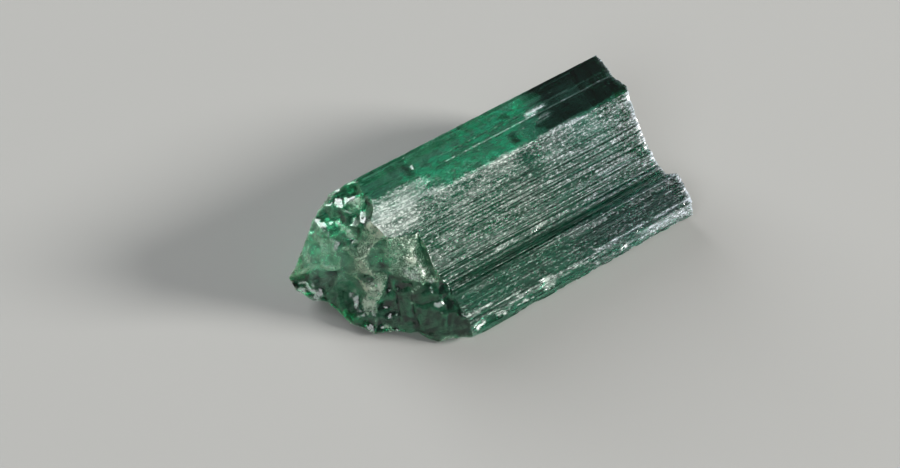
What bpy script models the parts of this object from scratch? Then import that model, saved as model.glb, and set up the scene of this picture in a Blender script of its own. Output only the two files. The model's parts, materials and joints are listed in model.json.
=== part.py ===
"""A broken prism of green tourmaline, lying on one of its long faces.

The crystal is one solid. Its long faces run along X, the fractured end is at -X and the front is -Y.
The skin of long faces is unrolled: "girth" is the distance in mm around the cross-section, measured
from the upper back edge towards the front. Each end is a net of fracture faces between named corners.
"""
import math

import bmesh
import bpy
import numpy as np
from mathutils import Vector
from mathutils.geometry import delaunay_2d_cdt

MM = 0.001

# Driving dimensions, in mm.
WIDTH = 10.1
HEIGHT = 6.4
SKIN_STEP = 0.42      # widest gap between two lines of the skin on the faces that show
HIDDEN_STEP = 0.85    # the same on the faces below and behind
LINE_GAP = 0.02       # lines of the skin that are nearer to each other than this become one
FIRST_STATION = -4.1  # x of the first and of the last even ring of the skin
LAST_STATION = 8.8
STATION_STEP = 1.0    # distance between two rings
FRACTURE_CELL = 0.40  # size of a triangle on a fracture face
FLAT_BASE = 0.0       # height of the face that the crystal rests on

LEFT_SHARES = (0.0, 0.34, 0.67)  # rings of the skin between the rim at -X and the first even ring
RIGHT_SHARES = (0.5, 1.0)        # rings between the last even ring and the rim at +X
HEX_ROW = 0.87                   # distance between rows of triangles, in cells
SAME_PLACE = 1e-6                # points nearer than this are one, mm

# Corners of the cross-section: name, y, z. The list runs over the top, down the front, back below.
CORNERS = (
    ("top_back", 0.338 * WIDTH, 0.990 * HEIGHT),
    ("top_line", 0.218 * WIDTH, HEIGHT),
    ("top_step", 0.161 * WIDTH, 0.998 * HEIGHT),
    ("shoulder", 0.028 * WIDTH, 0.986 * HEIGHT),
    ("groove", -0.323 * WIDTH, 0.385 * HEIGHT),
    ("low_ridge", -0.469 * WIDTH, 0.217 * HEIGHT),
    ("foot", -0.498 * WIDTH, 0.086 * HEIGHT),
    ("toe", -0.426 * WIDTH, FLAT_BASE),
    ("heel", 0.257 * WIDTH, FLAT_BASE),
    ("low_back", 0.440 * WIDTH, 0.219 * HEIGHT),
    ("wide_back", 0.498 * WIDTH, 0.516 * HEIGHT),
)
# How far a long face bulges out between its corners, mm, by the name of the corner it starts at.
BULGE = {"shoulder": 0.10, "groove": -0.05, "heel": 0.12, "low_back": 0.10, "wide_back": 0.14}
HIDDEN_FACES = ("toe", "heel", "low_back", "wide_back")

# Striae: girth past the named corner, height above the face (a groove is negative), half width.
STRIAE = (
    ("top_back", 0.14, -0.05, 0.07),
    ("top_line", 0.04, -0.06, 0.06),
    ("top_step", 0.02, 0.05, 0.06),
    ("shoulder", 1.24, -0.05, 0.08),
    ("shoulder", 2.62, -0.06, 0.07),
    ("shoulder", 3.42, -0.12, 0.09),
    ("shoulder", 3.66, 0.06, 0.08),
    ("shoulder", 4.22, 0.04, 0.08),
    ("shoulder", 4.46, -0.10, 0.09),
    ("shoulder", 4.86, -0.08, 0.08),
    ("shoulder", 5.14, -0.20, 0.09),
    ("groove", 0.12, 0.09, 0.09),
    ("groove", 0.62, -0.06, 0.08),
    ("groove", 0.90, -0.05, 0.07),
    ("groove", 1.66, -0.07, 0.08),
    ("low_ridge", 0.04, 0.09, 0.09),
    ("low_ridge", 0.34, -0.09, 0.08),
    ("low_ridge", 0.58, 0.05, 0.07),
    ("low_back", 0.50, -0.10, 0.14),
    ("low_back", 1.40, -0.12, 0.16),
    ("wide_back", 0.70, -0.10, 0.14),
    ("wide_back", 1.60, 0.08, 0.15),
    ("wide_back", 2.60, -0.12, 0.16),
)
# Chips out of the skin: x, girth past the named corner, depth, half length along X, half width.
CHIPS = (
    (-3.4, "top_back", 0.75, 0.16, 0.30, 0.85),
    (2.4, "top_step", 0.62, 0.20, 0.30, 0.32),
    (-4.6, "top_step", 1.00, 0.22, 1.60, 0.85),
    (0.6, "low_ridge", 0.12, 0.22, 0.55, 0.40),
    (-3.2, "low_ridge", 0.30, 0.20, 1.10, 0.35),
    (6.2, "low_ridge", 0.40, 0.14, 0.90, 0.30),
    (1.9, "shoulder", 4.30, 0.10, 0.90, 0.20),
    (-2.0, "wide_back", 0.10, 0.25, 1.60, 0.60),
    (4.5, "low_back", 0.10, 0.22, 1.30, 0.50),
)

# Where the long faces end at -X: corner name, section corner, girth past it, x.
LEFT_RIM = (
    ("rim_back", "top_back", 0.0, -6.10),
    ("rim_line", "top_line", 0.0, -6.30),
    ("rim_step", "top_step", 0.0, -6.20),
    ("rim_mid", "top_step", 0.45, -6.45),
    ("rim_low", "top_step", 1.03, -6.95),
    ("rim_shoulder", "shoulder", 0.0, -7.00),
    ("front_high", "shoulder", 0.87, -6.65),
    ("front_notch", "shoulder", 1.28, -5.95),
    ("wall_high", "shoulder", 1.45, -5.00),
    ("wall_mid", "shoulder", 2.29, -4.85),
    ("wall_low", "shoulder", 3.26, -4.95),
    ("wall_foot", "shoulder", 4.30, -4.80),
    ("wedge_high", "shoulder", 4.87, -4.50),
    ("wedge_groove", "groove", 0.0, -4.50),
    ("wedge_mid", "groove", 0.84, -4.50),
    ("wedge_ridge", "low_ridge", 0.0, -4.40),
    ("wedge_foot", "foot", 0.0, -4.45),
    ("wedge_toe", "toe", 0.0, -4.70),
    ("base_front", "toe", 0.40, -5.60),
    ("base_b", "toe", 1.30, -6.10),
    ("base_c", "toe", 2.40, -7.00),
    ("base_d", "toe", 3.40, -7.90),
    ("base_e", "toe", 4.90, -8.50),
    ("base_f", "toe", 5.90, -8.90),
    ("base_heel", "heel", 0.0, -9.30),
    ("back_low", "low_back", 0.0, -8.60),
    ("back_wide", "wide_back", 0.0, -7.40),
    ("back_high", "wide_back", 2.49, -6.98),
    ("back_rim", "wide_back", 3.00, -6.50),
)
# Corners of the fractured end inside that rim: x, y, z.
LEFT_CORNERS = {
    "ridge_a": (-7.75, 3.85, 4.90), "ridge_b": (-8.10, 4.05, 4.40), "ridge_c": (-8.40, 4.05, 4.10),
    "ridge_d": (-8.90, 3.85, 3.40), "ridge_e": (-9.40, 3.65, 2.80), "ridge_f": (-10.05, 3.35, 2.10),
    "tip": (-10.50, 3.35, 1.40), "chin_a": (-10.50, 2.85, 0.90), "chin_b": (-10.00, 1.90, 0.55),
    "chin_c": (-9.40, 1.45, 0.50), "sill_a": (-9.20, 0.45, 0.40), "sill_b": (-9.15, -0.35, 0.35),
    "sill_c": (-8.60, -1.25, 0.30), "sill_d": (-8.40, -1.60, 0.25), "sill_e": (-7.25, -2.25, 0.20),
    "sill_f": (-6.50, -2.85, 0.20), "sill_g": (-6.20, -3.50, 0.15), "sill_h": (-5.85, -4.00, 0.10),
    "scoop_high": (-7.35, 2.85, 5.45), "scoop_low": (-7.55, 1.85, 5.05),
    "crest_a": (-7.15, 0.95, 5.65), "crest_b": (-7.60, 1.05, 4.60), "crest_c": (-8.10, 1.55, 3.95),
    "crest_d": (-8.35, 1.80, 3.75), "crest_e": (-8.45, 2.45, 4.10), "crest_f": (-8.55, 2.80, 4.30),
    "brow": (-8.35, 1.50, 3.40),
    "ledge_a": (-8.55, 1.40, 2.75), "ledge_b": (-9.00, 1.95, 2.60), "ledge_c": (-9.35, 2.50, 2.45),
    "ledge_d": (-9.80, 2.90, 2.00), "ledge_e": (-10.10, 3.05, 1.60),
    "bowl_a": (-8.50, 1.60, 2.30), "bowl_b": (-8.90, 2.05, 2.10), "bowl_c": (-9.30, 2.55, 2.00),
    "bowl_d": (-9.70, 2.90, 1.60), "cheek": (-8.85, 1.45, 1.50),
    "saddle_a": (-7.90, 0.90, 3.55), "saddle_b": (-8.05, 0.55, 2.75), "spur_high": (-7.10, 0.15, 5.05),
    "spur_mid": (-7.85, 0.20, 4.15), "spur_low": (-7.60, -0.30, 3.20),
    "shelf_a": (-6.70, -0.45, 4.40), "shelf_b": (-6.80, -0.65, 3.20), "shelf_c": (-6.00, -2.00, 3.30),
    "shelf_d": (-5.10, -2.60, 3.25), "wall_a": (-4.90, -0.95, 4.35), "wall_b": (-5.05, -1.60, 3.70),
    "flake_a": (-7.90, -0.50, 2.30), "flake_b": (-7.40, -1.00, 2.30), "hollow": (-8.50, 0.80, 1.60),
    "flake_c": (-8.25, -0.05, 1.35), "flake_d": (-8.40, -0.85, 0.85), "flake_e": (-7.75, -0.90, 1.50),
    "glass_a": (-6.35, -2.00, 2.50), "glass_b": (-6.80, -1.50, 1.80), "glass_c": (-5.35, -3.75, 1.70),
    "glass_d": (-5.45, -4.00, 0.35),
}
# Fracture faces: their corners in order, and how far they bulge out (a scoop is negative), mm.
LEFT_FACES = (
    ("back_rim rim_back rim_line scoop_high ridge_a back_high", -0.10),
    ("rim_line rim_step rim_mid rim_low crest_a scoop_low scoop_high", -0.15),
    ("scoop_high scoop_low crest_e crest_f ridge_c ridge_b ridge_a", -0.12),
    ("scoop_low crest_a crest_b crest_c crest_d crest_e", -0.15),
    ("ridge_c crest_f crest_e crest_d brow ledge_a ledge_b ledge_c ledge_d ledge_e tip ridge_f ridge_e "
     "ridge_d", 0.14),
    ("ledge_a bowl_a bowl_b ledge_b", 0.0),
    ("ledge_b bowl_b bowl_c ledge_c", 0.0),
    ("ledge_c bowl_c bowl_d ledge_d", 0.0),
    ("ledge_d bowl_d ledge_e", 0.0),
    ("ledge_e bowl_d bowl_c bowl_b bowl_a cheek chin_c chin_b chin_a tip", -0.22),
    ("crest_c saddle_a saddle_b bowl_a ledge_a brow crest_d", -0.10),
    ("crest_a rim_low rim_shoulder front_high spur_high crest_b", 0.05),
    ("crest_b spur_high spur_mid saddle_a crest_c", -0.08),
    ("saddle_a spur_mid spur_low saddle_b", 0.04),
    ("spur_high front_high shelf_a shelf_b spur_low spur_mid", -0.12),
    ("front_high front_notch wall_high wall_a wall_b shelf_d shelf_c shelf_b shelf_a", 0.06),
    ("wall_high wall_mid wall_low wall_foot shelf_d wall_b wall_a", 0.0),
    ("saddle_b spur_low shelf_b flake_b flake_a", 0.05),
    ("bowl_a saddle_b flake_a flake_c hollow cheek", -0.15),
    ("flake_a flake_b flake_e flake_d flake_c", 0.06),
    ("cheek hollow flake_c flake_d sill_c sill_b sill_a chin_c", 0.08),
    ("flake_d flake_e sill_d sill_c", 0.0),
    ("shelf_b glass_b sill_e sill_d flake_e flake_b", -0.12),
    ("shelf_b shelf_c glass_a glass_b", -0.05),
    ("shelf_c shelf_d glass_c glass_d sill_h sill_g sill_f glass_a", 0.12),
    ("glass_a sill_f sill_e glass_b", 0.05),
    ("shelf_d wall_foot wedge_high wedge_groove wedge_mid wedge_ridge wedge_foot wedge_toe glass_d "
     "glass_c", -0.06),
    ("glass_d wedge_toe base_front sill_h", 0.0),
    ("sill_h base_front base_b sill_g", 0.0),
    ("sill_g base_b base_c sill_e sill_f", 0.0),
    ("sill_e base_c base_d sill_c sill_d", 0.0),
    ("sill_c base_d base_e sill_a sill_b", 0.0),
    ("sill_a base_e base_f chin_c", 0.0),
    ("chin_c base_f base_heel chin_a chin_b", 0.05),
    ("chin_a base_heel back_low tip", 0.05),
    ("tip back_low back_wide ridge_d ridge_e ridge_f", -0.15),
    ("ridge_d back_wide back_high ridge_a ridge_b ridge_c", -0.10),
)

# Where the long faces end at +X, in the same form as LEFT_RIM.
RIGHT_RIM = (
    ("end_back", "top_back", 0.0, 9.75),
    ("end_line", "top_line", 0.0, 9.60),
    ("end_nick", "top_step", 0.0, 9.40),
    ("end_mid", "top_step", 0.45, 9.52),
    ("end_high", "top_step", 1.05, 9.62),
    ("end_shoulder", "shoulder", 0.0, 9.50),
    ("end_front_a", "shoulder", 1.20, 9.35),
    ("end_front_b", "shoulder", 2.95, 9.30),
    ("end_front_c", "shoulder", 4.10, 9.45),
    ("end_front_d", "shoulder", 5.05, 9.75),
    ("lip_groove", "groove", 0.02, 10.15),
    ("lip_high", "groove", 0.20, 10.40),
    ("lip_mid", "groove", 0.80, 10.50),
    ("lip_ridge", "low_ridge", 0.0, 10.40),
    ("lip_foot", "foot", 0.0, 10.30),
    ("lip_toe", "toe", 0.0, 10.15),
    ("lip_base", "toe", 1.70, 10.05),
    ("end_base", "toe", 2.20, 9.55),
    ("end_heel", "heel", 0.0, 9.20),
    ("end_low", "low_back", 0.0, 9.00),
    ("end_wide", "wide_back", 0.0, 9.30),
    ("end_top", "wide_back", 2.20, 9.60),
)
RIGHT_CORNERS = {
    "lip_a": (10.20, -2.55, 1.70), "lip_b": (10.10, -2.35, 0.80),
    "step_a": (9.55, -2.30, 1.90), "step_b": (9.50, -1.95, 0.85),
    "end_a": (9.10, 0.60, 4.20), "end_b": (8.95, 1.60, 2.10),
}
RIGHT_FACES = (
    ("lip_groove lip_high lip_mid lip_ridge lip_foot lip_toe lip_base lip_b lip_a", 0.06),
    ("end_front_d lip_groove lip_a lip_b lip_base end_base step_b step_a", 0.0),
    ("end_back end_line end_nick end_mid end_high end_shoulder end_front_a end_a end_top", 0.05),
    ("end_front_a end_front_b end_front_c end_front_d step_a end_b end_a", -0.10),
    ("step_a step_b end_base end_heel end_low end_b", 0.08),
    ("end_a end_b end_low end_wide end_top", 0.06),
)


class Section:
    """The cross-section, walked by its girth."""

    def __init__(self):
        self.names = [name for name, _, _ in CORNERS]
        self.points = np.array([(y, z) for _, y, z in CORNERS])
        self.steps = np.roll(self.points, -1, axis=0) - self.points
        self.lengths = np.linalg.norm(self.steps, axis=1)
        self.starts = np.concatenate([[0.0], np.cumsum(self.lengths)])
        self.girth = self.starts[-1]
        normals = np.stack([self.steps[:, 1], -self.steps[:, 0]], axis=1) / self.lengths[:, None]
        corner_normals = normals + np.roll(normals, 1, axis=0)
        self.outward = corner_normals / np.linalg.norm(corner_normals, axis=1)[:, None]

    def at(self, corner, past):
        """The girth of a place given as a distance past a corner."""
        return self.starts[self.names.index(corner)] + past

    def face_at(self, girth):
        """The number of the long face at a girth."""
        return min(int(np.searchsorted(self.starts, girth, side="right")) - 1, len(self.names) - 1)

    def place(self, girth):
        """The point at a girth and the outward direction there, without striae."""
        face = self.face_at(girth)
        share = (girth - self.starts[face]) / self.lengths[face]
        following = (face + 1) % len(self.names)
        outward = (1.0 - share) * self.outward[face] + share * self.outward[following]
        outward /= np.linalg.norm(outward)
        bulge = BULGE.get(self.names[face], 0.0) * 4.0 * share * (1.0 - share)
        return self.points[face] + share * self.steps[face] + bulge * outward, outward


def tent(distance, half_width):
    """1 in the middle, falling straight to 0 at the half width."""
    return max(0.0, 1.0 - abs(distance) / half_width)


def relief(section, x, girth):
    """Height of the striae and chips above the plain face, in mm."""
    height = 0.0
    for corner, past, rise, half_width in STRIAE:
        height += rise * tent(girth - section.at(corner, past), half_width)
    for chip_x, corner, past, depth, half_length, half_width in CHIPS:
        away = math.hypot((x - chip_x) / half_length, (girth - section.at(corner, past)) / half_width)
        height -= depth * max(0.0, 1.0 - away * away)
    return height


def line_places(section):
    """The girths of corners, striae and rims, and those among them that belong to a rim."""
    fixed = {round(section.at(corner, past), 4) for _, corner, past, _ in LEFT_RIM + RIGHT_RIM}
    lines = fixed | {round(start, 4) for start in section.starts[:-1]}
    for corner, past, _, half_width in STRIAE:
        centre = section.at(corner, past)
        lines.update(round(centre + side * half_width, 4) for side in (-1.0, 0.0, 1.0))
    return sorted(line % section.girth for line in lines), fixed


def skin_lines(section):
    """The girths at which the skin has a line: corners, striae, rims and even steps between them."""
    lines, fixed = line_places(section)
    kept = [lines[0]]
    for line in lines[1:]:
        if line in fixed and line - kept[-1] < LINE_GAP and kept[-1] not in fixed:
            kept[-1] = line
        elif line in fixed or line - kept[-1] > LINE_GAP:
            kept.append(line)
    filled = []
    for line, following in zip(kept, kept[1:] + [section.girth]):
        hidden = section.names[section.face_at(line)] in HIDDEN_FACES
        parts = max(1, math.ceil((following - line) / (HIDDEN_STEP if hidden else SKIN_STEP)))
        filled.extend(line + (following - line) * part / parts for part in range(parts))
    return filled


def rim_x(section, rim, girth):
    """x of an end's rim at a girth."""
    places = [section.at(corner, past) for _, corner, past, _ in rim]
    values = [x for _, _, _, x in rim]
    return float(np.interp(girth, places + [section.girth], values + [values[0]]))


class Body:
    """The growing solid: points are shared by their place."""

    def __init__(self):
        self.mesh = bmesh.new()
        self.found = {}

    def vertex(self, point):
        key = tuple(round(float(value), 4) for value in point)
        if key not in self.found:
            self.found[key] = self.mesh.verts.new([value * MM for value in point])
        return self.found[key]

    def triangle(self, corners):
        vertices = [self.vertex(corner) for corner in corners]
        if len(set(vertices)) == 3:
            self.mesh.faces.new(vertices)


def skin_point(section, x, girth):
    """The point of a long face at x and a girth, with its striae and chips."""
    (y, z), outward = section.place(girth)
    height = relief(section, x, girth)
    z_up = max(FLAT_BASE, z + height * outward[1])
    return (x, y + height * outward[0], z_up)


def skin_rows(section, lines):
    """For each line, the points from the fractured end to the other one."""
    reach = LAST_STATION - FIRST_STATION
    count = round(reach / STATION_STEP)
    stations = [FIRST_STATION + reach * number / count for number in range(count + 1)]
    rows = []
    for girth in lines:
        left = rim_x(section, LEFT_RIM, girth)
        right = rim_x(section, RIGHT_RIM, girth)
        places = [left + (FIRST_STATION - left) * share for share in LEFT_SHARES]
        places += stations
        places += [LAST_STATION + (right - LAST_STATION) * share for share in RIGHT_SHARES]
        rows.append([skin_point(section, x, girth) for x in places])
    return rows


def add_skin(body, rows):
    """Two triangles between each ring and the next, all the way round."""
    for row, following in zip(rows, rows[1:] + rows[:1]):
        for column in range(len(row) - 1):
            low, low_next = row[column], row[column + 1]
            high, high_next = following[column], following[column + 1]
            body.triangle((low, low_next, high_next))
            body.triangle((low, high_next, high))


class FractureNet:
    """One end: straight edges between corners, shared by the faces on both sides."""

    def __init__(self, section, lines, rows, end, rim, corners):
        self.rim_names = [name for name, _, _, _ in rim]
        self.rim_points = [row[end] for row in rows]
        self.corners = dict(corners)
        self.rim_places = {}
        for name, corner, past, _ in rim:
            gaps = np.abs(np.array(lines) - section.at(corner, past))
            self.rim_places[name] = int(np.argmin(gaps))
            self.corners[name] = self.rim_points[self.rim_places[name]]

    def rim_run(self, start, finish):
        """The rim's points between two neighbouring rim corners, or None."""
        if start not in self.rim_names or finish not in self.rim_names:
            return None
        order = self.rim_names
        gap = (order.index(finish) - order.index(start)) % len(order)
        if gap not in (1, len(order) - 1):
            return None
        low, high = (start, finish) if gap == 1 else (finish, start)
        first, last = self.rim_places[low], self.rim_places[high]
        if last <= first:
            last += len(self.rim_points)
        run = [self.rim_points[place % len(self.rim_points)] for place in range(first + 1, last)]
        return run if gap == 1 else run[::-1]

    def edge(self, start, finish):
        """The points of an edge, without its last corner."""
        a, b = np.array(self.corners[start]), np.array(self.corners[finish])
        run = self.rim_run(start, finish)
        if run is None:
            parts = max(1, round(float(np.linalg.norm(b - a)) / FRACTURE_CELL))
            shares = np.arange(1, parts) / parts
            run = [a + (b - a) * share for share in shares]
        return [a] + [np.array(point) for point in run]

    def outline(self, names):
        """All the points round the face between the named corners."""
        points = []
        for start, finish in zip(names, names[1:] + names[:1]):
            points += self.edge(start, finish)
        return np.array(points)


def fracture_plane(outline):
    """The middle of an outline, and the directions across, up and out of its plane."""
    total = np.cross(outline, np.roll(outline, -1, axis=0)).sum(axis=0)
    normal = total / np.linalg.norm(total)
    first = outline[1] - outline[0]
    across = first - normal * float(first @ normal)
    across /= np.linalg.norm(across)
    return outline.mean(axis=0), across, np.cross(normal, across), normal


def inside(point, outline):
    """Whether a flat point lies in a flat outline."""
    a, b = outline, np.roll(outline, -1, axis=0)
    crossing = (a[:, 1] > point[1]) != (b[:, 1] > point[1])
    rise = np.where(crossing, b[:, 1] - a[:, 1], 1.0)
    where = a[:, 0] + (point[1] - a[:, 1]) * (b[:, 0] - a[:, 0]) / rise
    return bool(np.sum(crossing & (point[0] < where)) % 2)


def distance_to(point, outline):
    """The distance from a flat point to the nearest edge of a flat outline."""
    a, b = outline, np.roll(outline, -1, axis=0)
    along = b - a
    share = np.clip(np.sum((point - a) * along, axis=1) / np.sum(along * along, axis=1), 0.0, 1.0)
    return float(np.min(np.linalg.norm(a + along * share[:, None] - point, axis=1)))


def blend(point, outline, values):
    """A smooth value inside an outline from the values on it (mean value coordinates)."""
    offsets = outline - point
    reach = np.linalg.norm(offsets, axis=1)
    following = np.roll(offsets, -1, axis=0)
    turn = np.arctan2(offsets[:, 0] * following[:, 1] - offsets[:, 1] * following[:, 0],
                      np.sum(offsets * following, axis=1))
    half = np.tan(turn / 2.0)
    weights = (half + np.roll(half, 1)) / reach
    return float(np.sum(weights * values) / np.sum(weights))


def inner_places(flat):
    """Even places inside a flat outline, in rows shifted by half a cell."""
    low, high = flat.min(axis=0), flat.max(axis=0)
    rows = int((high[1] - low[1]) / (HEX_ROW * FRACTURE_CELL)) + 1
    columns = int((high[0] - low[0]) / FRACTURE_CELL) + 1
    places = []
    for row in range(rows):
        for column in range(columns):
            place = low + FRACTURE_CELL * np.array([column + 0.5 * (row % 2), HEX_ROW * row])
            if inside(place, flat) and distance_to(place, flat) > 0.5 * FRACTURE_CELL:
                places.append(place)
    return places


def add_fracture_face(body, net, names, bulge):
    """One face between shared edges, which bulges out or is scooped in."""
    outline = net.outline(names)
    centre, across, up, normal = fracture_plane(outline)
    flat = np.stack([(outline - centre) @ across, (outline - centre) @ up], axis=1)
    inner = inner_places(flat)
    depths = [distance_to(place, flat) for place in inner]
    outward = 1.0 if normal[0] * centre[0] > 0.0 else -1.0
    solid = [tuple(point) for point in outline]
    for place, depth in zip(inner, depths):
        swell = bulge * outward * (1.0 - (1.0 - depth / max(depths)) ** 2)
        lift = blend(place, flat, (outline - centre) @ normal) + swell
        solid.append(tuple(centre + place[0] * across + place[1] * up + lift * normal))
    ring = [(number, (number + 1) % len(outline)) for number in range(len(outline))]
    places = [Vector(place) for place in list(flat) + inner]
    _, _, triangles, origins, _, _ = delaunay_2d_cdt(places, ring, [], 1, SAME_PLACE)
    for triangle in triangles:
        body.triangle([solid[origins[number][0]] for number in triangle])


def add_end(body, section, lines, rows, end, rim, corners, faces):
    """All the fracture faces of one end, which start from that end's points of the rows."""
    net = FractureNet(section, lines, rows, end, rim, corners)
    for names, bulge in faces:
        add_fracture_face(body, net, names.split(), bulge)


def crystal_material():
    material = bpy.data.materials.new("tourmaline")
    material.use_nodes = True
    shader = material.node_tree.nodes["Principled BSDF"]
    shader.inputs["Base Color"].default_value = (0.02, 0.13, 0.08, 1.0)
    shader.inputs["Roughness"].default_value = 0.12
    shader.inputs["IOR"].default_value = 1.63
    shader.inputs["Transmission Weight"].default_value = 0.8
    return material


def build_crystal():
    section = Section()
    lines = skin_lines(section)
    rows = skin_rows(section, lines)
    body = Body()
    add_skin(body, rows)
    add_end(body, section, lines, rows, 0, LEFT_RIM, LEFT_CORNERS, LEFT_FACES)
    add_end(body, section, lines, rows, -1, RIGHT_RIM, RIGHT_CORNERS, RIGHT_FACES)
    bmesh.ops.recalc_face_normals(body.mesh, faces=body.mesh.faces)
    mesh = bpy.data.meshes.new("crystal")
    body.mesh.to_mesh(mesh)
    body.mesh.free()
    mesh.materials.append(crystal_material())
    crystal = bpy.data.objects.new("crystal", mesh)
    bpy.context.scene.collection.objects.link(crystal)


def main():
    for old in list(bpy.data.objects):
        bpy.data.objects.remove(old, do_unlink=True)
    build_crystal()


main()
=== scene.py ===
"""Scene for the tourmaline crystal: the finely striated and fractured piece, its material, floor,
lights and camera. Sizes are in mm until MM turns them into metres. The long faces are unrolled:
"girth" is the distance around the cross-section from the upper back edge towards the front.
"""
import json
import math
from collections import namedtuple
from itertools import product

import bmesh
import bpy
import numpy as np
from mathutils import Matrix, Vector, noise
from mathutils.geometry import delaunay_2d_cdt

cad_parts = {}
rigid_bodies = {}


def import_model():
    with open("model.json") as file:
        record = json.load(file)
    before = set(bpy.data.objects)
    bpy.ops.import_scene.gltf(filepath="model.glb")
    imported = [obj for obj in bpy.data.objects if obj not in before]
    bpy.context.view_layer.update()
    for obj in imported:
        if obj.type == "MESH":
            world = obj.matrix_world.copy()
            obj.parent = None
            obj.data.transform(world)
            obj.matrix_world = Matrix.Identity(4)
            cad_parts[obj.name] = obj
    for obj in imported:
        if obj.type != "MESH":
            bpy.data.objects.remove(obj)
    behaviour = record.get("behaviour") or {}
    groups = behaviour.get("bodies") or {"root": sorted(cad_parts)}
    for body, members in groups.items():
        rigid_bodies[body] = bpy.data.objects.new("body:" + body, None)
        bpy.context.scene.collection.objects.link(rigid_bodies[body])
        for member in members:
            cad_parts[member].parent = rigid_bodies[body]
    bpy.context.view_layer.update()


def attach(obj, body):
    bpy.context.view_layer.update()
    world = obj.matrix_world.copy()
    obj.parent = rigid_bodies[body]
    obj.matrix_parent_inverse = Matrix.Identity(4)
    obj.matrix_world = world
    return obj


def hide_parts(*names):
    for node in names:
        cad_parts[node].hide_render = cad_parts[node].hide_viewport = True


MM = 0.001
SEED = 41

# Driving dimensions, in mm.
WIDTH = 10.1
HEIGHT = 6.4
FLAT_BASE = 0          # height of the face that the crystal rests on
SKIN_STEP = 0.034      # gap between two lines of the skin on the faces that show from above
HIDDEN_STEP = 0.11     # the same below and behind
STATION_STEP = 0.18    # distance between two rings of the skin
FIRST_STATION = -4.1   # x of the first and of the last even ring
LAST_STATION = 8.8
LEFT_RINGS = 16        # rings from there to the rims
RIGHT_RINGS = 8
FRACTURE_CELL = 0.105  # size of a triangle on a fracture face
HEX_ROW = 0.87         # distance between rows of triangles, in cells
SAME_PLACE = 1e-7      # flat points nearer than this are one
SHARP_ANGLE = 30       # degrees: edges sharper than this stay crisp

# Relief of the broken ends, in mm.
EASE = 0.14            # how far from its edges a fracture face gains its full relief
RAGGED_RIM = 0.40      # how far from its edges it gains its own raggedness
RIM_REACH = 0.35       # how far from a rim the skin follows the rim's wobble
WOBBLES = ((2.2, 0.065), (5, 0.020), (11, 0.005))  # lumps in a mm, and how far they move a point
LEAST_LOOSE = 0.01     # points looser than this are moved
CRAG_SCALE = 3         # crags in a mm, and their mean height
CRAG_MEAN = 0.4
RIPPLE_GAP = 0.60      # distance between two ripples
RIPPLE_START = 0.4     # how far beyond a face's first corner they start, as a share
BEND = 0.35            # how far ripples and creases bend

# Lowest and highest random values: factors of size, or mm along X.
STRIA_WIDTHS = (0.7, 1.6)
STRIA_RISES = (-1.2, 0.9)
STRIA_MIDDLES = (-6, 10)
STRIA_REACHES = (3, 16)
MARK_SIZES = (0.5, 1.6)
MARK_DEPTHS = (0.5, 1.2)
FRONT_CROWDING = 0.62  # below 1, so that the striae of the front face crowd in its lower part
FRONT_RISE = 0.25      # factor of their height at its top, and how much it gains downwards
FRONT_GAIN = 1.1

# How the looks follow the relief, with painted light and shade on the fine striae and on the broken ends.
RAGGED = 0.35          # soft edge of a patch across the striae, as a share of the one along them
STEEP = 1.6            # how steeply marks and spots end
CALM_BELOW = 1.8       # how far below the shoulder the striae reach their full contrast
CALM_SHARE = 0.55      # the contrast that they lack at the shoulder
CLOUD_CALM = 1.6       # the contrast that they lose under frost
DEEP_STRIA = 0.022     # height or depth at which a fine stria looks its strongest
RIDGE_PAINTED_LIGHT = 0.5      # frost that a ridge gains and that a groove lacks: painted light on the ridges, painted shade in the grooves
GROOVE_SHADE_CLEAR = 0.85
GROOVE_PAINTED_SHADE = 0.9      # how dark a groove looks: painted shade
RIM_FROST = 0.5        # extra frost at the rim of the +X end
WEAR_AND_HOLLOW_SHADE = 3.5             # how strongly the edges of the broken ends look worn and their hollows shaded
WEAR_AND_SHADE_FROST = 0.30      # frost that the edges gain and darkness that they lack; the hollows lose and gain as much, as painted shade
WEAR_AND_SHADE_LIGHT = 0.40
SOFT_ROUNDS = 2        # how often the looks of neighbouring faces run into each other
MOST_LOOKS = (1.3, 1, 1)  # most frost, darkness and warmth

# Noises of the material: size of a grain, how many times as long along X, detail, roughness.
STREAKS = (0.10, 14, 3, 0.55)
LUMPS = (0.16, 1.5, 4, 0.7)
CLOUDS = (0.7, 2.5, 4, 0.55)
WISPS = (0.46, 1.2, 5, 0.65)
SKIN_GRAINS = (0.11, 1.8, 2, 0.8)
BROKEN_GRAINS = (0.075, 1, 2, 0.7)
HAIRLINES = (0.09, 18, 2, 0.55)
PEBBLES = (0.13, 1.3, 4, 0.75)
BUMP_HEIGHT = 0.010    # mm

# Frost, glass, and the refraction and absorption of tourmaline.
GREEN_FROST = (0.54, 0.61, 0.56, 1)
# Painted reflection: the frost turns this bluish colour towards +X.
BLUISH_SHEEN_FROST = (0.54, 0.59, 0.66, 1)
THIN_FROST = (0.40, 0.64, 0.46, 1)
# Nearly white: the thickest frost of the broken ends, and their painted glints.
THICK_FROST_AND_GLINT = (0.88, 0.96, 0.88, 1)
# Brown frost of the crest, and the colour of the painted cream glint of the blade.
BROWN_FROST_AND_CREAM_GLINT = (0.62, 0.55, 0.44, 1)
SKIN_GLASS = (0.86, 0.96, 0.92, 1)
BROKEN_GLASS = (0.90, 0.96, 0.76, 1)
VEILED_GLASS = (0.08, 0.88, 0.52, 1)
# Nearly black: the stone's dark zone, and painted shade on the broken ends, the front and the grooves.
DARK_GLASS_AND_SHADE = (0.004, 0.008, 0.008, 1)
VEIL_SHARE = 0.11      # light that a veil stops
IOR = 1.63
ABSORPTION = (0.12, 0.76, 0.60, 1)
DENSITY = 300          # per metre

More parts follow.
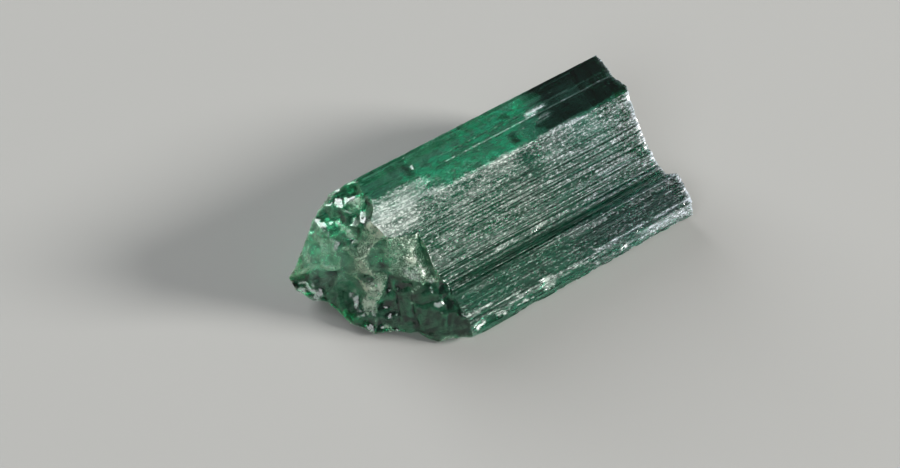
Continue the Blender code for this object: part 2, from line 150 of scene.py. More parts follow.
# The floor: a disc in metres that curves up to a low wall, so that no view sees past it.
FLOOR_RADIUS = 0.80
FLOOR_RISE = 0.12
FLOOR_SIDES = 96
FLOOR_BENDS = 13
FLOOR_GAP = 0.02       # mm from the floor up to the crystal
FLOOR_COLOUR = (0.31, 0.31, 0.30, 1)
FLOOR_ROUGHNESS = 0.9

# Lights: name, direction towards it, size in mm, watts, colour.
LIGHTS = (
    ("key", (0.76, -0.56, 0.38), 240, 17, (1, 0.98, 0.95)),
    ("fill", (-0.75, -0.45, 0.80), 500, 3, (0.97, 0.98, 1)),
    ("back", (-0.15, 0.90, 0.45), 620, 10, (0.97, 0.99, 1)),
)
LIGHT_DISTANCE = 900
SKY_COLOUR = (0.80, 0.82, 0.84, 1)
SKY_STRENGTH = 0.15

# The photograph's view.
CAMERA_AZIMUTH = -35
CAMERA_ELEVATION = 50
CAMERA_DISTANCE = 110
CAMERA_AIM = (-2.86, -0.6, 3.6)
PIXELS_PER_MM = 19
FRAME_WIDTH = 900
SENSOR_WIDTH = 36

# Corners of the cross-section: name, y, z. The list runs over the top, down the front, back below.
CORNERS = (
    ("top_back", 0.338 * WIDTH, 0.99 * HEIGHT),
    ("top_line", 0.218 * WIDTH, HEIGHT),
    ("top_step", 0.161 * WIDTH, 0.998 * HEIGHT),
    ("shoulder", 0.028 * WIDTH, 0.986 * HEIGHT),
    ("groove", -0.323 * WIDTH, 0.385 * HEIGHT),
    ("low_ridge", -0.469 * WIDTH, 0.217 * HEIGHT),
    ("foot", -0.498 * WIDTH, 0.086 * HEIGHT),
    ("toe", -0.426 * WIDTH, FLAT_BASE),
    ("heel", 0.257 * WIDTH, FLAT_BASE),
    ("low_back", 0.44 * WIDTH, 0.219 * HEIGHT),
    ("wide_back", 0.498 * WIDTH, 0.516 * HEIGHT),
)
# How far a long face bulges out between its corners, mm, by the name of the corner it starts at.
BULGE = dict(shoulder=0.1, groove=-0.05, heel=0.12, low_back=0.1, wide_back=0.14)
HIDDEN_FACES = ("toe", "heel", "low_back", "wide_back")

# Striae: girth past the named corner, height above the face (a groove is negative), half width.
STRIAE = (
    ("top_back", 0.14, -0.05, 0.07),
    ("top_line", 0.04, -0.06, 0.06),
    ("top_step", 0.02, 0.05, 0.06),
    ("shoulder", 1.24, -0.05, 0.08),
    ("shoulder", 2.62, -0.06, 0.07),
    ("shoulder", 3.42, -0.12, 0.09),
    ("shoulder", 3.66, 0.06, 0.08),
    ("shoulder", 4.22, 0.04, 0.08),
    ("shoulder", 4.46, -0.1, 0.09),
    ("shoulder", 4.86, -0.08, 0.08),
    ("shoulder", 5.14, -0.2, 0.09),
    ("groove", 0.12, 0.09, 0.09),
    ("groove", 0.62, -0.06, 0.08),
    ("groove", 0.9, -0.05, 0.07),
    ("groove", 1.66, -0.07, 0.08),
    ("low_ridge", 0.04, 0.09, 0.09),
    ("low_ridge", 0.34, -0.09, 0.08),
    ("low_ridge", 0.58, 0.05, 0.07),
    ("low_back", 0.5, -0.1, 0.14),
    ("low_back", 1.4, -0.12, 0.16),
    ("wide_back", 0.7, -0.1, 0.14),
    ("wide_back", 1.6, 0.08, 0.15),
    ("wide_back", 2.6, -0.12, 0.16),
)
# Chips out of the skin: x, girth past the named corner, depth, half length along X, half width.
CHIPS = (
    (-3.4, "top_back", 0.75, 0.12, 0.3, 0.85),
    (2.4, "top_step", 0.62, 0.12, 0.3, 0.34),
    (-4.6, "top_step", 1, 0.22, 1.6, 0.85),
    (0.6, "low_ridge", 0.12, 0.22, 0.55, 0.4),
    (-3.2, "low_ridge", 0.3, 0.2, 1.1, 0.35),
    (6.2, "low_ridge", 0.4, 0.14, 0.9, 0.3),
    (1.9, "shoulder", 4.3, 0.1, 0.9, 0.2),
    (-2, "wide_back", 0.1, 0.25, 1.6, 0.6),
    (4.5, "low_back", 0.1, 0.22, 1.3, 0.5),
)

# Where the long faces end at -X: corner name, section corner, girth past it, x.
LEFT_RIM = (
    ("rim_back", "top_back", 0, -6.1),
    ("rim_line", "top_line", 0, -6.3),
    ("rim_step", "top_step", 0, -6.2),
    ("rim_mid", "top_step", 0.45, -6.45),
    ("rim_low", "top_step", 1.03, -6.95),
    ("rim_shoulder", "shoulder", 0, -7),
    ("front_high", "shoulder", 0.87, -6.65),
    ("front_notch", "shoulder", 1.28, -5.95),
    ("wall_high", "shoulder", 1.45, -5),
    ("wall_mid", "shoulder", 2.29, -4.85),
    ("wall_low", "shoulder", 3.26, -4.95),
    ("wall_foot", "shoulder", 4.3, -4.8),
    ("wedge_high", "shoulder", 4.87, -4.5),
    ("wedge_groove", "groove", 0, -4.5),
    ("wedge_mid", "groove", 0.84, -4.5),
    ("wedge_ridge", "low_ridge", 0, -4.4),
    ("wedge_foot", "foot", 0, -4.45),
    ("wedge_toe", "toe", 0, -4.7),
    ("base_front", "toe", 0.4, -5.6),
    ("base_b", "toe", 1.3, -6.1),
    ("base_c", "toe", 2.4, -7),
    ("base_d", "toe", 3.4, -7.9),
    ("base_e", "toe", 4.9, -8.5),
    ("base_f", "toe", 5.9, -8.9),
    ("base_heel", "heel", 0, -9.3),
    ("back_low", "low_back", 0, -8.6),
    ("back_wide", "wide_back", 0, -7.4),
    ("back_high", "wide_back", 2.49, -6.98),
    ("back_rim", "wide_back", 3, -6.5),
)
# Corners of the fractured end inside that rim: x, y, z.
LEFT_CORNERS = dict(
    ridge_a=(-7.75, 3.85, 4.9), ridge_b=(-8.1, 4.05, 4.4), ridge_c=(-8.4, 4.05, 4.1),
    ridge_d=(-8.9, 3.85, 3.4), ridge_e=(-9.4, 3.65, 2.8), ridge_f=(-10.05, 3.35, 2.1),
    tip=(-10.5, 3.35, 1.4), chin_a=(-10.5, 2.85, 0.9), chin_b=(-10, 1.9, 0.55),
    chin_c=(-9.4, 1.45, 0.5), sill_a=(-9.2, 0.45, 0.4), sill_b=(-9.15, -0.35, 0.35),
    sill_c=(-8.6, -1.25, 0.3), sill_d=(-8.4, -1.6, 0.25), sill_e=(-7.25, -2.25, 0.2),
    sill_f=(-6.5, -2.85, 0.2), sill_g=(-6.2, -3.5, 0.15), sill_h=(-5.85, -4, 0.1),
    scoop_high=(-7.35, 2.85, 5.45), scoop_low=(-7.55, 1.85, 5.05),
    crest_a=(-7.15, 0.95, 5.65), crest_b=(-7.6, 1.05, 4.6), crest_c=(-8.1, 1.55, 3.95),
    crest_d=(-8.35, 1.8, 3.75), crest_e=(-8.45, 2.45, 4.1), crest_f=(-8.55, 2.8, 4.3),
    brow=(-8.35, 1.5, 3.4),
    ledge_a=(-8.55, 1.4, 2.75), ledge_b=(-9, 1.95, 2.6), ledge_c=(-9.35, 2.5, 2.45),
    ledge_d=(-9.8, 2.9, 2), ledge_e=(-10.1, 3.05, 1.6),
    bowl_a=(-8.5, 1.6, 2.3), bowl_b=(-8.9, 2.05, 2.1), bowl_c=(-9.3, 2.55, 2),
    bowl_d=(-9.7, 2.9, 1.6), cheek=(-8.85, 1.45, 1.5),
    saddle_a=(-7.9, 0.9, 3.55), saddle_b=(-8.05, 0.55, 2.75), spur_high=(-7.1, 0.15, 5.05),
    spur_mid=(-7.85, 0.2, 4.15), spur_low=(-7.6, -0.3, 3.2),
    shelf_a=(-6.7, -0.45, 4.4), shelf_b=(-6.8, -0.65, 3.2), shelf_c=(-6, -2, 3.3),
    shelf_d=(-5.1, -2.6, 3.25), wall_a=(-4.9, -0.95, 4.35), wall_b=(-5.05, -1.6, 3.7),
    flake_a=(-7.9, -0.5, 2.3), flake_b=(-7.4, -1, 2.3), hollow=(-8.5, 0.8, 1.6),
    flake_c=(-8.25, -0.05, 1.35), flake_d=(-8.4, -0.85, 0.85), flake_e=(-7.75, -0.9, 1.5),
    glass_a=(-6.35, -2, 2.5), glass_b=(-6.8, -1.5, 1.8), glass_c=(-5.35, -3.75, 1.7),
    glass_d=(-5.45, -4, 0.35),
)
# Fracture faces: their corners in order, and how far they bulge out (a scoop is negative), mm.
LEFT_FACES = (
    ("back_rim rim_back rim_line scoop_high ridge_a back_high", -0.1, "glass"),
    ("rim_line rim_step rim_mid rim_low crest_a scoop_low scoop_high", -0.15, "glass"),
    ("scoop_high scoop_low crest_e crest_f ridge_c ridge_b ridge_a", -0.12, "glass"),
    ("scoop_low crest_a crest_b crest_c crest_d crest_e", -0.15, "glass"),
    ("ridge_c crest_f crest_e crest_d brow ledge_a ledge_b ledge_c ledge_d ledge_e tip ridge_f ridge_e "
     "ridge_d", 0.14, "satin"),
    ("ledge_a bowl_a bowl_b ledge_b", 0, "edge"),
    ("ledge_b bowl_b bowl_c ledge_c", 0, "edge"),
    ("ledge_c bowl_c bowl_d ledge_d", 0, "edge"),
    ("ledge_d bowl_d ledge_e", 0, "edge"),
    ("ledge_e bowl_d bowl_c bowl_b bowl_a cheek chin_c chin_b chin_a tip", -0.22, "bowl"),
    ("crest_c saddle_a saddle_b bowl_a ledge_a brow crest_d", -0.1, "smooth"),
    ("crest_a rim_low rim_shoulder front_high spur_high crest_b", 0.05, "white"),
    ("crest_b spur_high spur_mid saddle_a crest_c", -0.08, "frost"),
    ("saddle_a spur_mid spur_low saddle_b", 0.04, "white"),
    ("spur_high front_high shelf_a shelf_b spur_low spur_mid", -0.12, "smooth"),
    ("front_high front_notch wall_high wall_a wall_b shelf_d shelf_c shelf_b shelf_a", 0.06, "dull"),
    ("wall_high wall_mid wall_low wall_foot shelf_d wall_b wall_a", 0, "smooth"),
    ("saddle_b spur_low shelf_b flake_b flake_a", 0.05, "frost"),
    ("bowl_a saddle_b flake_a flake_c hollow cheek", -0.15, "smooth"),
    ("flake_a flake_b flake_e flake_d flake_c", 0.06, "frost"),
    ("cheek hollow flake_c flake_d sill_c sill_b sill_a chin_c", 0.08, "slope"),
    ("flake_d flake_e sill_d sill_c", 0, "slope"),
    ("shelf_b glass_b sill_e sill_d flake_e flake_b", -0.12, "deep"),
    ("shelf_b shelf_c glass_a glass_b", -0.05, "deep"),
    ("shelf_c shelf_d glass_c glass_d sill_h sill_g sill_f glass_a", 0.12, "deep"),
    ("glass_a sill_f sill_e glass_b", 0.05, "deep"),
    ("shelf_d wall_foot wedge_high wedge_groove wedge_mid wedge_ridge wedge_foot wedge_toe glass_d "
     "glass_c", -0.06, "dark"),
    ("glass_d wedge_toe base_front sill_h", 0, "edge"),
    ("sill_h base_front base_b sill_g", 0, "slope"),
    ("sill_g base_b base_c sill_e sill_f", 0, "slope"),
    ("sill_e base_c base_d sill_c sill_d", 0, "slope"),
    ("sill_c base_d base_e sill_a sill_b", 0, "slope"),
    ("sill_a base_e base_f chin_c", 0, "slope"),
    ("chin_c base_f base_heel chin_a chin_b", 0.05, "slope"),
    ("chin_a base_heel back_low tip", 0.05, "satin"),
    ("tip back_low back_wide ridge_d ridge_e ridge_f", -0.15, "satin"),
    ("ridge_d back_wide back_high ridge_a ridge_b ridge_c", -0.1, "satin"),
)

# Where the long faces end at +X, in the same form as LEFT_RIM.
RIGHT_RIM = (
    ("end_back", "top_back", 0, 9.75),
    ("end_line", "top_line", 0, 9.6),
    ("end_nick", "top_step", 0, 9.4),
    ("end_mid", "top_step", 0.45, 9.52),
    ("end_high", "top_step", 1.05, 9.62),
    ("end_shoulder", "shoulder", 0, 9.5),
    ("end_front_a", "shoulder", 1.2, 9.35),
    ("end_front_b", "shoulder", 2.95, 9.3),
    ("end_front_c", "shoulder", 4.1, 9.45),
    ("end_front_d", "shoulder", 5.05, 9.75),
    ("lip_groove", "groove", 0.02, 10.15),
    ("lip_high", "groove", 0.2, 10.4),
    ("lip_mid", "groove", 0.8, 10.5),
    ("lip_ridge", "low_ridge", 0, 10.4),
    ("lip_foot", "foot", 0, 10.3),
    ("lip_toe", "toe", 0, 10.15),
    ("lip_base", "toe", 1.7, 10.05),
    ("end_base", "toe", 2.2, 9.55),
    ("end_heel", "heel", 0, 9.2),
    ("end_low", "low_back", 0, 9),
    ("end_wide", "wide_back", 0, 9.3),
    ("end_top", "wide_back", 2.2, 9.6),
)
RIGHT_CORNERS = dict(
    lip_a=(10.2, -2.55, 1.7), lip_b=(10.1, -2.35, 0.8),
    step_a=(9.55, -2.3, 1.9), step_b=(9.5, -1.95, 0.85),
    end_a=(9.1, 0.6, 4.2), end_b=(8.95, 1.6, 2.1),
)
RIGHT_FACES = (
    ("lip_groove lip_high lip_mid lip_ridge lip_foot lip_toe lip_base lip_b lip_a", 0.06, "break"),
    ("end_front_d lip_groove lip_a lip_b lip_base end_base step_b step_a", 0, "break"),
    ("end_back end_line end_nick end_mid end_high end_shoulder end_front_a end_a end_top", 0.05, "break"),
    ("end_front_a end_front_b end_front_c end_front_d step_a end_b end_a", -0.1, "break"),
    ("step_a step_b end_base end_heel end_low end_b", 0.08, "break"),
    ("end_a end_b end_low end_wide end_top", 0.06, "break"),
)

# Finish of a fracture face: frost (0 glassy, 1 white); height and width of its swells, mm; height of
# its crags and ripples, mm; slope of its creases; how ragged, how dark and how warm it looks. Its
# darkness is painted shade on the broken faces.
Finish = namedtuple("Finish", "frost swells span crags ripples creases ragged dark warm")
FINISHES = {
    "glass": Finish(0.08, 0.08, 0.77, 0, 0.022, 0.06, 1, 0.78, 0),
    "deep": Finish(0.05, 0.11, 1.1, 0, 0.012, 0.07, 0.5, 0.92, 0.1),
    "dark": Finish(0.05, 0.09, 1.1, 0, 0.012, 0.09, 0.5, 1, 0),
    "smooth": Finish(0.3, 0.08, 0.77, 0.006, 0.008, 0.07, 0.8, 0.68, 0.5),
    "bowl": Finish(0.11, 0.06, 0.9, 0.004, 0.016, 0.05, 0.8, 0.9, 0.1),
    "edge": Finish(0.6, 0.01, 0.77, 0, 0, 0, 1, 0.1, 0),
    "satin": Finish(0.31, 0.07, 0.77, 0.03, 0, 0.1, 0.9, 0.44, 0),
    "slope": Finish(0.13, 0.07, 0.9, 0.005, 0, 0.06, 0.7, 0.95, 0.1),
    "break": Finish(0.26, 0.11, 1.3, 0.01, 0.028, 0.08, 0.45, 0.76, 0),
    "frost": Finish(0.58, 0.05, 0.77, 0.055, 0, 0.08, 1, 0.66, 0.35),
    "dull": Finish(0.56, 0.05, 0.77, 0.05, 0, 0.08, 1, 0.7, 0.05),
    "white": Finish(0.72, 0.05, 0.77, 0.075, 0, 0.08, 1, 0.55, 0.7),
}
# Spots on the fractured end: x, y, z, radius, then the frost, darkness and warmth they add. Most
# are painted light and shade: white and cream glints and highlights, and shade in the scoop and
# under the ledge.
GLINT_SHADE_AND_FROST_SPOTS = (
    # Painted glints: the bright patch, strand and crescent in the scoop.
    (-6.76, 2.23, 6, 0.3, 0.85, -0.6, 0),
    (-6.88, 1.58, 5.91, 0.16, 0.45, -0.4, 0),
    (-7.2, 2.35, 5.6, 0.2, 0.35, -0.5, 0),
    (-7.32, 1.88, 5.36, 0.14, 0.35, -0.5, 0),
    (-7.26, 1.45, 5.46, 0.12, 0.35, -0.5, 0),
    (-7.72, 2.85, 4.98, 0.12, 0.35, -0.4, 0),
    (-7.78, 2.5, 4.86, 0.14, 0.45, -0.5, 0),
    (-7.8, 2.14, 4.79, 0.18, 0.55, -0.6, 0),
    (-7.74, 1.7, 4.73, 0.24, 0.75, -0.6, 0),
    (-7.68, 1.3, 4.7, 0.18, 0.6, -0.6, 0),
    # Painted shade in the scoop.
    (-7.03, 3.45, 5.58, 0.45, 0, 0.35, 0),
    (-6.36, 2.05, 6.3, 0.3, 0, 0.45, 0),
    (-7.57, 2.19, 5.1, 0.25, 0, 0.45, 0),
    # Painted highlights on the ridge face.
    (-8.44, 3.3, 4.26, 0.1, 0.8, -0.5, 0),
    (-8.39, 2.24, 4.04, 0.14, 0.5, -0.4, 0),
    (-8.71, 2.55, 3.63, 0.32, 0.45, -0.2, 0),
    (-9.53, 2.94, 2.48, 0.12, 0.45, -0.2, 0),
    # Painted cream glint: the blade.
    (-8.2, 0.45, 2.5, 0.16, 0.8, -0.6, 1),
    (-8.1, 0.18, 2.42, 0.18, 0.9, -0.6, 1),
    (-8.03, -0.08, 2.3, 0.17, 0.8, -0.6, 1),
    (-7.9, -0.28, 2.3, 0.12, 0.6, -0.6, 1),
    (-7.86, 0.19, 2.83, 0.3, -0.45, 0.4, 0.5),
    (-7.66, -0.18, 2.9, 0.22, -0.45, 0.4, 0.4),
    (-7.45, -0.7, 2.54, 0.24, 0.3, -0.4, 0),
    (-7.64, -0.86, 1.99, 0.24, 0.2, -0.3, 0),
    (-7.96, -0.74, 1.51, 0.2, 0.35, -0.4, 0),
    (-8.16, -0.47, 1.37, 0.22, 0.3, -0.2, 0),
    (-7.99, -0.97, 1.18, 0.14, 0.6, -0.4, 0),
    (-6.98, -0.43, 3.75, 0.35, -0.2, 0.45, 0),
    (-5.53, -0.99, 4.6, 0.14, 0.6, -0.4, 0.3),
    (-6.35, -0.8, 3.92, 0.12, 0.5, -0.4, 0),
    (-5.8, -1.3, 4.2, 0.35, 0.25, -0.2, 0.3),
    # Painted glint line and glint dot on the lower glass.
    (-6.22, -2.05, 2.7, 0.09, 0.8, -0.6, 0),
    (-6.1, -2.1, 2.88, 0.09, 0.9, -0.6, 0),
    (-5.97, -2.15, 3.05, 0.09, 0.9, -0.6, 0),
    (-5.72, -2.24, 3.2, 0.09, 0.8, -0.6, 0),
    (-6.39, -2.19, 1.96, 0.1, 0.8, -0.6, 0),
    # Painted glints at the bottom edge.
    (-7.79, -1.77, 0.5, 0.14, 0.7, -0.6, 0.2),
    (-7.66, -1.95, 0.33, 0.14, 0.7, -0.6, 0.2),
    # Painted shade under the ledge, at the top of the bowl.
    (-8.55, 1.6, 2.1, 0.2, -0.15, 0.4, 0),
    (-8.9, 2.05, 1.92, 0.2, -0.15, 0.4, 0),
    (-9.3, 2.55, 1.82, 0.2, -0.15, 0.4, 0),
    (-9.7, 2.9, 1.45, 0.18, -0.15, 0.4, 0),
    # Painted highlight along the rim of the ledge.
    (-8.8, 1.75, 2.78, 0.15, 0.3, -0.3, 0),
    (-9.15, 2.2, 2.62, 0.15, 0.3, -0.3, 0),
    (-9.52, 2.68, 2.32, 0.15, 0.3, -0.3, 0),
    (-9.92, 2.98, 1.88, 0.15, 0.3, -0.3, 0),
    (-9.96, 2.48, 1.16, 0.2, 0.1, -0.5, 0),
    (-7.1, 0.85, 5.6, 0.3, -0.4, 0.3, 0.2),
    (-7.4, 0.95, 5, 0.28, -0.4, 0.3, 0.2),
    (-7.85, 1.1, 4.2, 0.26, -0.3, 0.3, 0.2),
)
# Creases of a fracture: direction and distance between two of them, mm.
CREASES = (
    ((0.5, 0.7, 0.5), 1.1),
    ((-0.3, 0.4, 0.87), 0.7),
    ((0.8, -0.6, 0.1), 0.75),
)
# Frost of the long faces, by the corner where they start.
FACE_FROST = dict(
    top_back=0.03, top_line=0.05, top_step=0.05, shoulder=0.43, groove=0.33,
    low_ridge=0.32, foot=0.38, toe=0.75, heel=0.8, low_back=0.6, wide_back=0.5,
)
# Painted shade: how dark the glass behind the front and lower long faces looks, in the same way.
FACE_PAINTED_SHADE = dict(shoulder=0.62, groove=0.74, low_ridge=0.55, foot=0.4)
# Patches of frost on the skin: first x, last x, first girth, last girth, soft edge, amount.
FROST_PATCHES = (
    (-6.95, -3, 1.75, 3.15, 0.9, 0.42),
    (-6.95, -4.4, 2.3, 4.3, 0.7, 0.25),
    (-6.95, -5.9, 2.2, 3.3, 0.5, 0.2),
    (5.6, 12, -1, 1.2, 1, -0.05),
    (5, 12, 1.8, 2.95, 1, -0.05),
    (-5.6, -0.5, 0.3, 1.15, 1.6, 0.12),
    (-3.2, 0.5, 2.1, 3.1, 1.2, 0.16),
    (-3, 6.3, 3, 3.26, 0.5, 0.45),
    (-1.5, 9.3, 1.68, 1.78, 0.2, 0.5),
    (-4, 9.3, 1.2, 1.27, 0.2, 0.22),
    (3.9, 4.5, 1.3, 1.62, 0.35, 0.8),
    (4.4, 5.1, 1.34, 1.52, 0.35, 0.8),
    (4.1, 4.9, 1.9, 2.3, 0.5, 0.45),
    (4.6, 9.3, 3.2, 5.2, 2.4, -0.05),
    (1.9, 2.8, 3.3, 5, 1, -0.22),
    (-1.3, -0.2, 7.3, 7.45, 0.3, 0.4),
    (1.3, 2.1, 7.3, 7.45, 0.3, 0.45),
    (2.6, 3.4, 7.24, 7.4, 0.3, 0.35),
    (4.5, 5.2, 7.32, 7.44, 0.3, 0.45),
    (1, 10.3, 8.44, 8.54, 0.25, 0.4),
    (4, 10.3, 9.98, 10.08, 0.3, 0.6),
    (-1.4, 5, 10.08, 10.18, 0.3, 0.55),
    (-3, -1.2, 9.92, 10.02, 0.3, 0.6),
    (-4.4, -2.8, 9.72, 9.84, 0.3, 0.6),
    (0.4, 1, 9.95, 10.7, 0.3, 0.5),
    (-4, 3, 10.6, 11.3, 0.9, -0.2),
    (6.8, 10.2, 10.3, 10.8, 0.6, 0.4),
)
# Patches where the glass looks dark, in the same form: the stone's dark zone at +X, painted shade along
# the crease above the groove, and small dark patches of the top faces, two of them in a chip and a pit.
DARK_PATCHES = (
    (4.9, 12, -1, 1.75, 1.4, 1.25),
    (4.2, 12, 1.7, 2.36, 1, 1.2),
    (4, 12, 2.28, 3.02, 1, 1.2),
    (4, 12, 8.6, 9.9, 3, 0.35),
    # Painted shade along the crease above the groove.
    (-4.5, 12, 7.5, 8.4, 1, 0.3),
    (-3.75, -3.3, 0.2, 1.65, 0.3, 0.9),
    (-4.5, -4, 0.25, 0.8, 0.3, 0.6),
    (2.2, 2.65, 2.05, 2.8, 0.25, 0.95),
)
# Green veils in the glass behind the upper faces, in the same form.
VEILS = (
    (-3.9, -1.2, 1.1, 2.3, 0.9, 0.9),
    (-2.6, 2.9, 1.8, 3.1, 0.9, 1),
    (-0.4, 4.4, 0.05, 1.65, 1.6, 0.9),
    (-5, 1.5, 0.2, 1.6, 1.6, 0.4),
)
# Fine striae of each long face: number, height, half width (mm).
FINE_STRIAE = dict(
    top_back=(14, 0.005, 0.03),
    top_line=(8, 0.008, 0.028),
    top_step=(20, 0.005, 0.03),
    shoulder=(190, 0.026, 0.03),
    groove=(70, 0.015, 0.024),
    low_ridge=(22, 0.022, 0.03),
    foot=(14, 0.03, 0.04),
    heel=(18, 0.03, 0.07),
    low_back=(24, 0.03, 0.06),
    wide_back=(40, 0.03, 0.06),
)
# Small marks scattered over the skin: corner, girth past it, spread of the girth, number, depth, half
# length, half width, first x, last x. Flecks are white, and their depth is the frost they add.
CHIPS_AND_PITS = (
    ("top_back", 0.02, 0.03, 36, 0.02, 0.12, 0.05, -6, 9.6),
    ("top_step", 0.02, 0.03, 22, 0.02, 0.12, 0.05, -4, 9.2),
    ("shoulder", 0, 0.05, 80, 0.028, 0.12, 0.06, -6.8, 9.4),
    ("groove", 0, 0.05, 24, 0.03, 0.16, 0.06, -4.4, 10),
    ("low_ridge", 0, 0.06, 70, 0.045, 0.12, 0.07, -4.4, 10.3),
    ("foot", 0, 0.08, 50, 0.05, 0.2, 0.09, -4.4, 10.2),
    ("shoulder", 2.55, 2.55, 260, 0.018, 0.06, 0.03, -6, 10),
    ("groove", 0.85, 0.85, 60, 0.02, 0.06, 0.028, -4.4, 10),
    ("top_step", 0.65, 0.65, 24, 0.01, 0.045, 0.03, -6, 9.6),
    ("low_ridge", 0.4, 0.4, 60, 0.035, 0.07, 0.045, -4.4, 10),
)
FLECKS = (
    ("low_ridge", 0.42, 0.1, 30, 0.7, 0.05, 0.08, -4.3, -0.4),
    ("low_ridge", 0.06, 0.05, 34, 0.6, 0.08, 0.05, -4.3, 0.8),
    ("low_ridge", 0.7, 0.2, 40, 0.45, 0.07, 0.06, -4.4, 10),
    ("low_ridge", 0.1, 0.1, 60, 0.4, 0.1, 0.05, 0.8, 10.2),
    ("shoulder", 2.7, 2.3, 70, 0.28, 0.13, 0.08, -4.8, 9.4),
    ("shoulder", 2.7, 2.3, 200, 0.35, 0.06, 0.04, -4.8, 9.4),
    ("groove", 0.9, 0.8, 60, 0.3, 0.06, 0.04, -4.4, 10.2),
    ("top_step", 0.65, 0.6, 60, 0.32, 0.05, 0.04, -5.5, 9.4),
    ("top_back", 0.6, 0.6, 30, 0.28, 0.05, 0.04, -5.5, 9.4),
    ("shoulder", 0.9, 0.9, 420, 0.3, 0.05, 0.04, -4.5, 9.4),
)


class Section:
    """The cross-section, walked by its girth."""

    def __init__(self):
        self.names = [name for name, _, _ in CORNERS]
        self.points = np.array([(y, z) for _, y, z in CORNERS])
        self.steps = np.roll(self.points, -1, axis=0) - self.points
        self.lengths = np.linalg.norm(self.steps, axis=1)
        self.starts = np.concatenate([[0], np.cumsum(self.lengths)])
        self.girth = self.starts[-1]
        normals = np.stack([self.steps[:, 1], -self.steps[:, 0]], axis=1) / self.lengths[:, None]
        corner_normals = normals + np.roll(normals, 1, axis=0)
        self.outward = corner_normals / np.linalg.norm(corner_normals, axis=1)[:, None]

    def at(self, corner, past):
        """The girth of a place given as a distance past a corner."""
        return self.starts[self.names.index(corner)] + past

    def faces(self, girths):
        """The number of the long face at each girth."""
        return np.minimum(np.searchsorted(self.starts, girths, side="right") - 1, len(self.names) - 1)

    def values(self, girths, by_name):
        """A value at each girth from values of the long faces by name, or zero."""
        return np.array([by_name.get(name, 0) for name in self.names])[self.faces(girths)]

    def places(self, girths):
        """The points at some girths and the outward directions there, without striae."""
        face = self.faces(girths)
        share = ((girths - self.starts[face]) / self.lengths[face])[:, None]
        following = (face + 1) % len(self.names)
        outward = (1 - share) * self.outward[face] + share * self.outward[following]
        outward /= np.linalg.norm(outward, axis=1)[:, None]
        bulge = self.values(girths, BULGE)[:, None] * 4 * share * (1 - share)
        return self.points[face] + share * self.steps[face] + bulge * outward, outward


def tent(distance, half_width):
    """The height of a straight-sided ridge: 1 on its line, and 0 from its half width on."""
    return np.maximum(0, 1 - np.abs(distance) / half_width)


def waver(x, phase, slow):
    """A slow wave along the crystal, between 0.7 and 1.3, so that no stria keeps one depth."""
    return 1 + 0.18 * np.sin(slow * x + phase) + 0.12 * np.sin(2.7 * slow * x + 2.1 * phase)


def main_relief(section, x, girth):
    """The striae and chips that the solid has too."""
    height = np.zeros(np.broadcast(x, girth).shape)
    for number, (corner, past, rise, half_width) in enumerate(STRIAE):
        sway = 0.012 * np.sin(0.55 * x + number)
        height += rise * waver(x, number, 0.9) * tent(girth - section.at(corner, past) - sway, half_width)
    for chip_x, corner, past, depth, half_length, half_width in CHIPS:
        away = np.hypot((x - chip_x) / half_length, (girth - section.at(corner, past)) / half_width)
        height -= depth * np.maximum(0, 1 - away * away)
    return height


def stria(corner, rise, half_width, chance):
    """A random stria: its place as a share of its face's width, height, half width, middle and reach."""
    on_front = corner == "shoulder"
    share = chance.random()
    if on_front:
        share = share ** FRONT_CROWDING
    width = half_width * chance.uniform(*STRIA_WIDTHS)
    rise *= chance.uniform(*STRIA_RISES)
    if on_front:
        rise *= FRONT_RISE + FRONT_GAIN * share
    return share, rise, width, chance.uniform(*STRIA_MIDDLES), chance.uniform(*STRIA_REACHES)


def fine_striae(section, x, girth, chance):
    """Hair-fine ridges and grooves that fade in and out along the crystal."""
    height = np.zeros(x.shape)
    for corner, (number, face_rise, half_width) in FINE_STRIAE.items():
        face = section.names.index(corner)
        for _ in range(number):
            share, rise, width, middle, reach = stria(corner, face_rise, half_width, chance)
            centre = section.starts[face] + share * section.lengths[face]
            near = np.abs(girth[:, 0] - centre) < width
            along = np.clip(2 - 2 * np.abs(x[near] - middle) / reach, 0, 1)
            height[near] += rise * along * tent(girth[near] - centre, width)
    return height


def dents(x, girth, places):
    """Small hollows with a broken rim. Each place is x, girth, depth, half length, half width."""
    height = np.zeros(x.shape)
    for dent_x, dent_girth, depth, half_length, half_width in places:
        near = np.abs(girth[:, 0] - dent_girth) < half_width
        away = np.hypot((x[near] - dent_x) / half_length, (girth[near] - dent_girth) / half_width)
        height[near] -= depth * np.clip(STEEP * (1 - away), 0, 1)
    return height


def scatter(section, table, chance):
    """Random places for small marks, as dents() wants them."""
    places = []
    for corner, past, spread, number, depth, half_length, half_width, first, last in table:
        for _ in range(number):
            size = chance.uniform(*MARK_SIZES)
            girth = max(0, section.at(corner, past + spread * chance.uniform(-1, 1)))
            places.append((chance.uniform(first, last), girth, depth * chance.uniform(*MARK_DEPTHS),
                           half_length * size, half_width * size))
    return places


def grain(points, scale, depth):
    """Smooth noise at some points, given in mm."""
    return np.array([noise.fractal(Vector(point) * scale, 0.7, 2, depth) for point in points])


def crags(points):
    """Noise with sharp creases, between 0 and about 1, at some points given in mm."""
    return np.array([noise.turbulence(Vector(point) * CRAG_SCALE, 3, True) for point in points])


def zigzag(distance):
    """A wave with straight sides, from 0.5 to -0.5 and back in each whole distance."""
    return np.abs(2 * (distance - np.floor(distance)) - 1) - 0.5


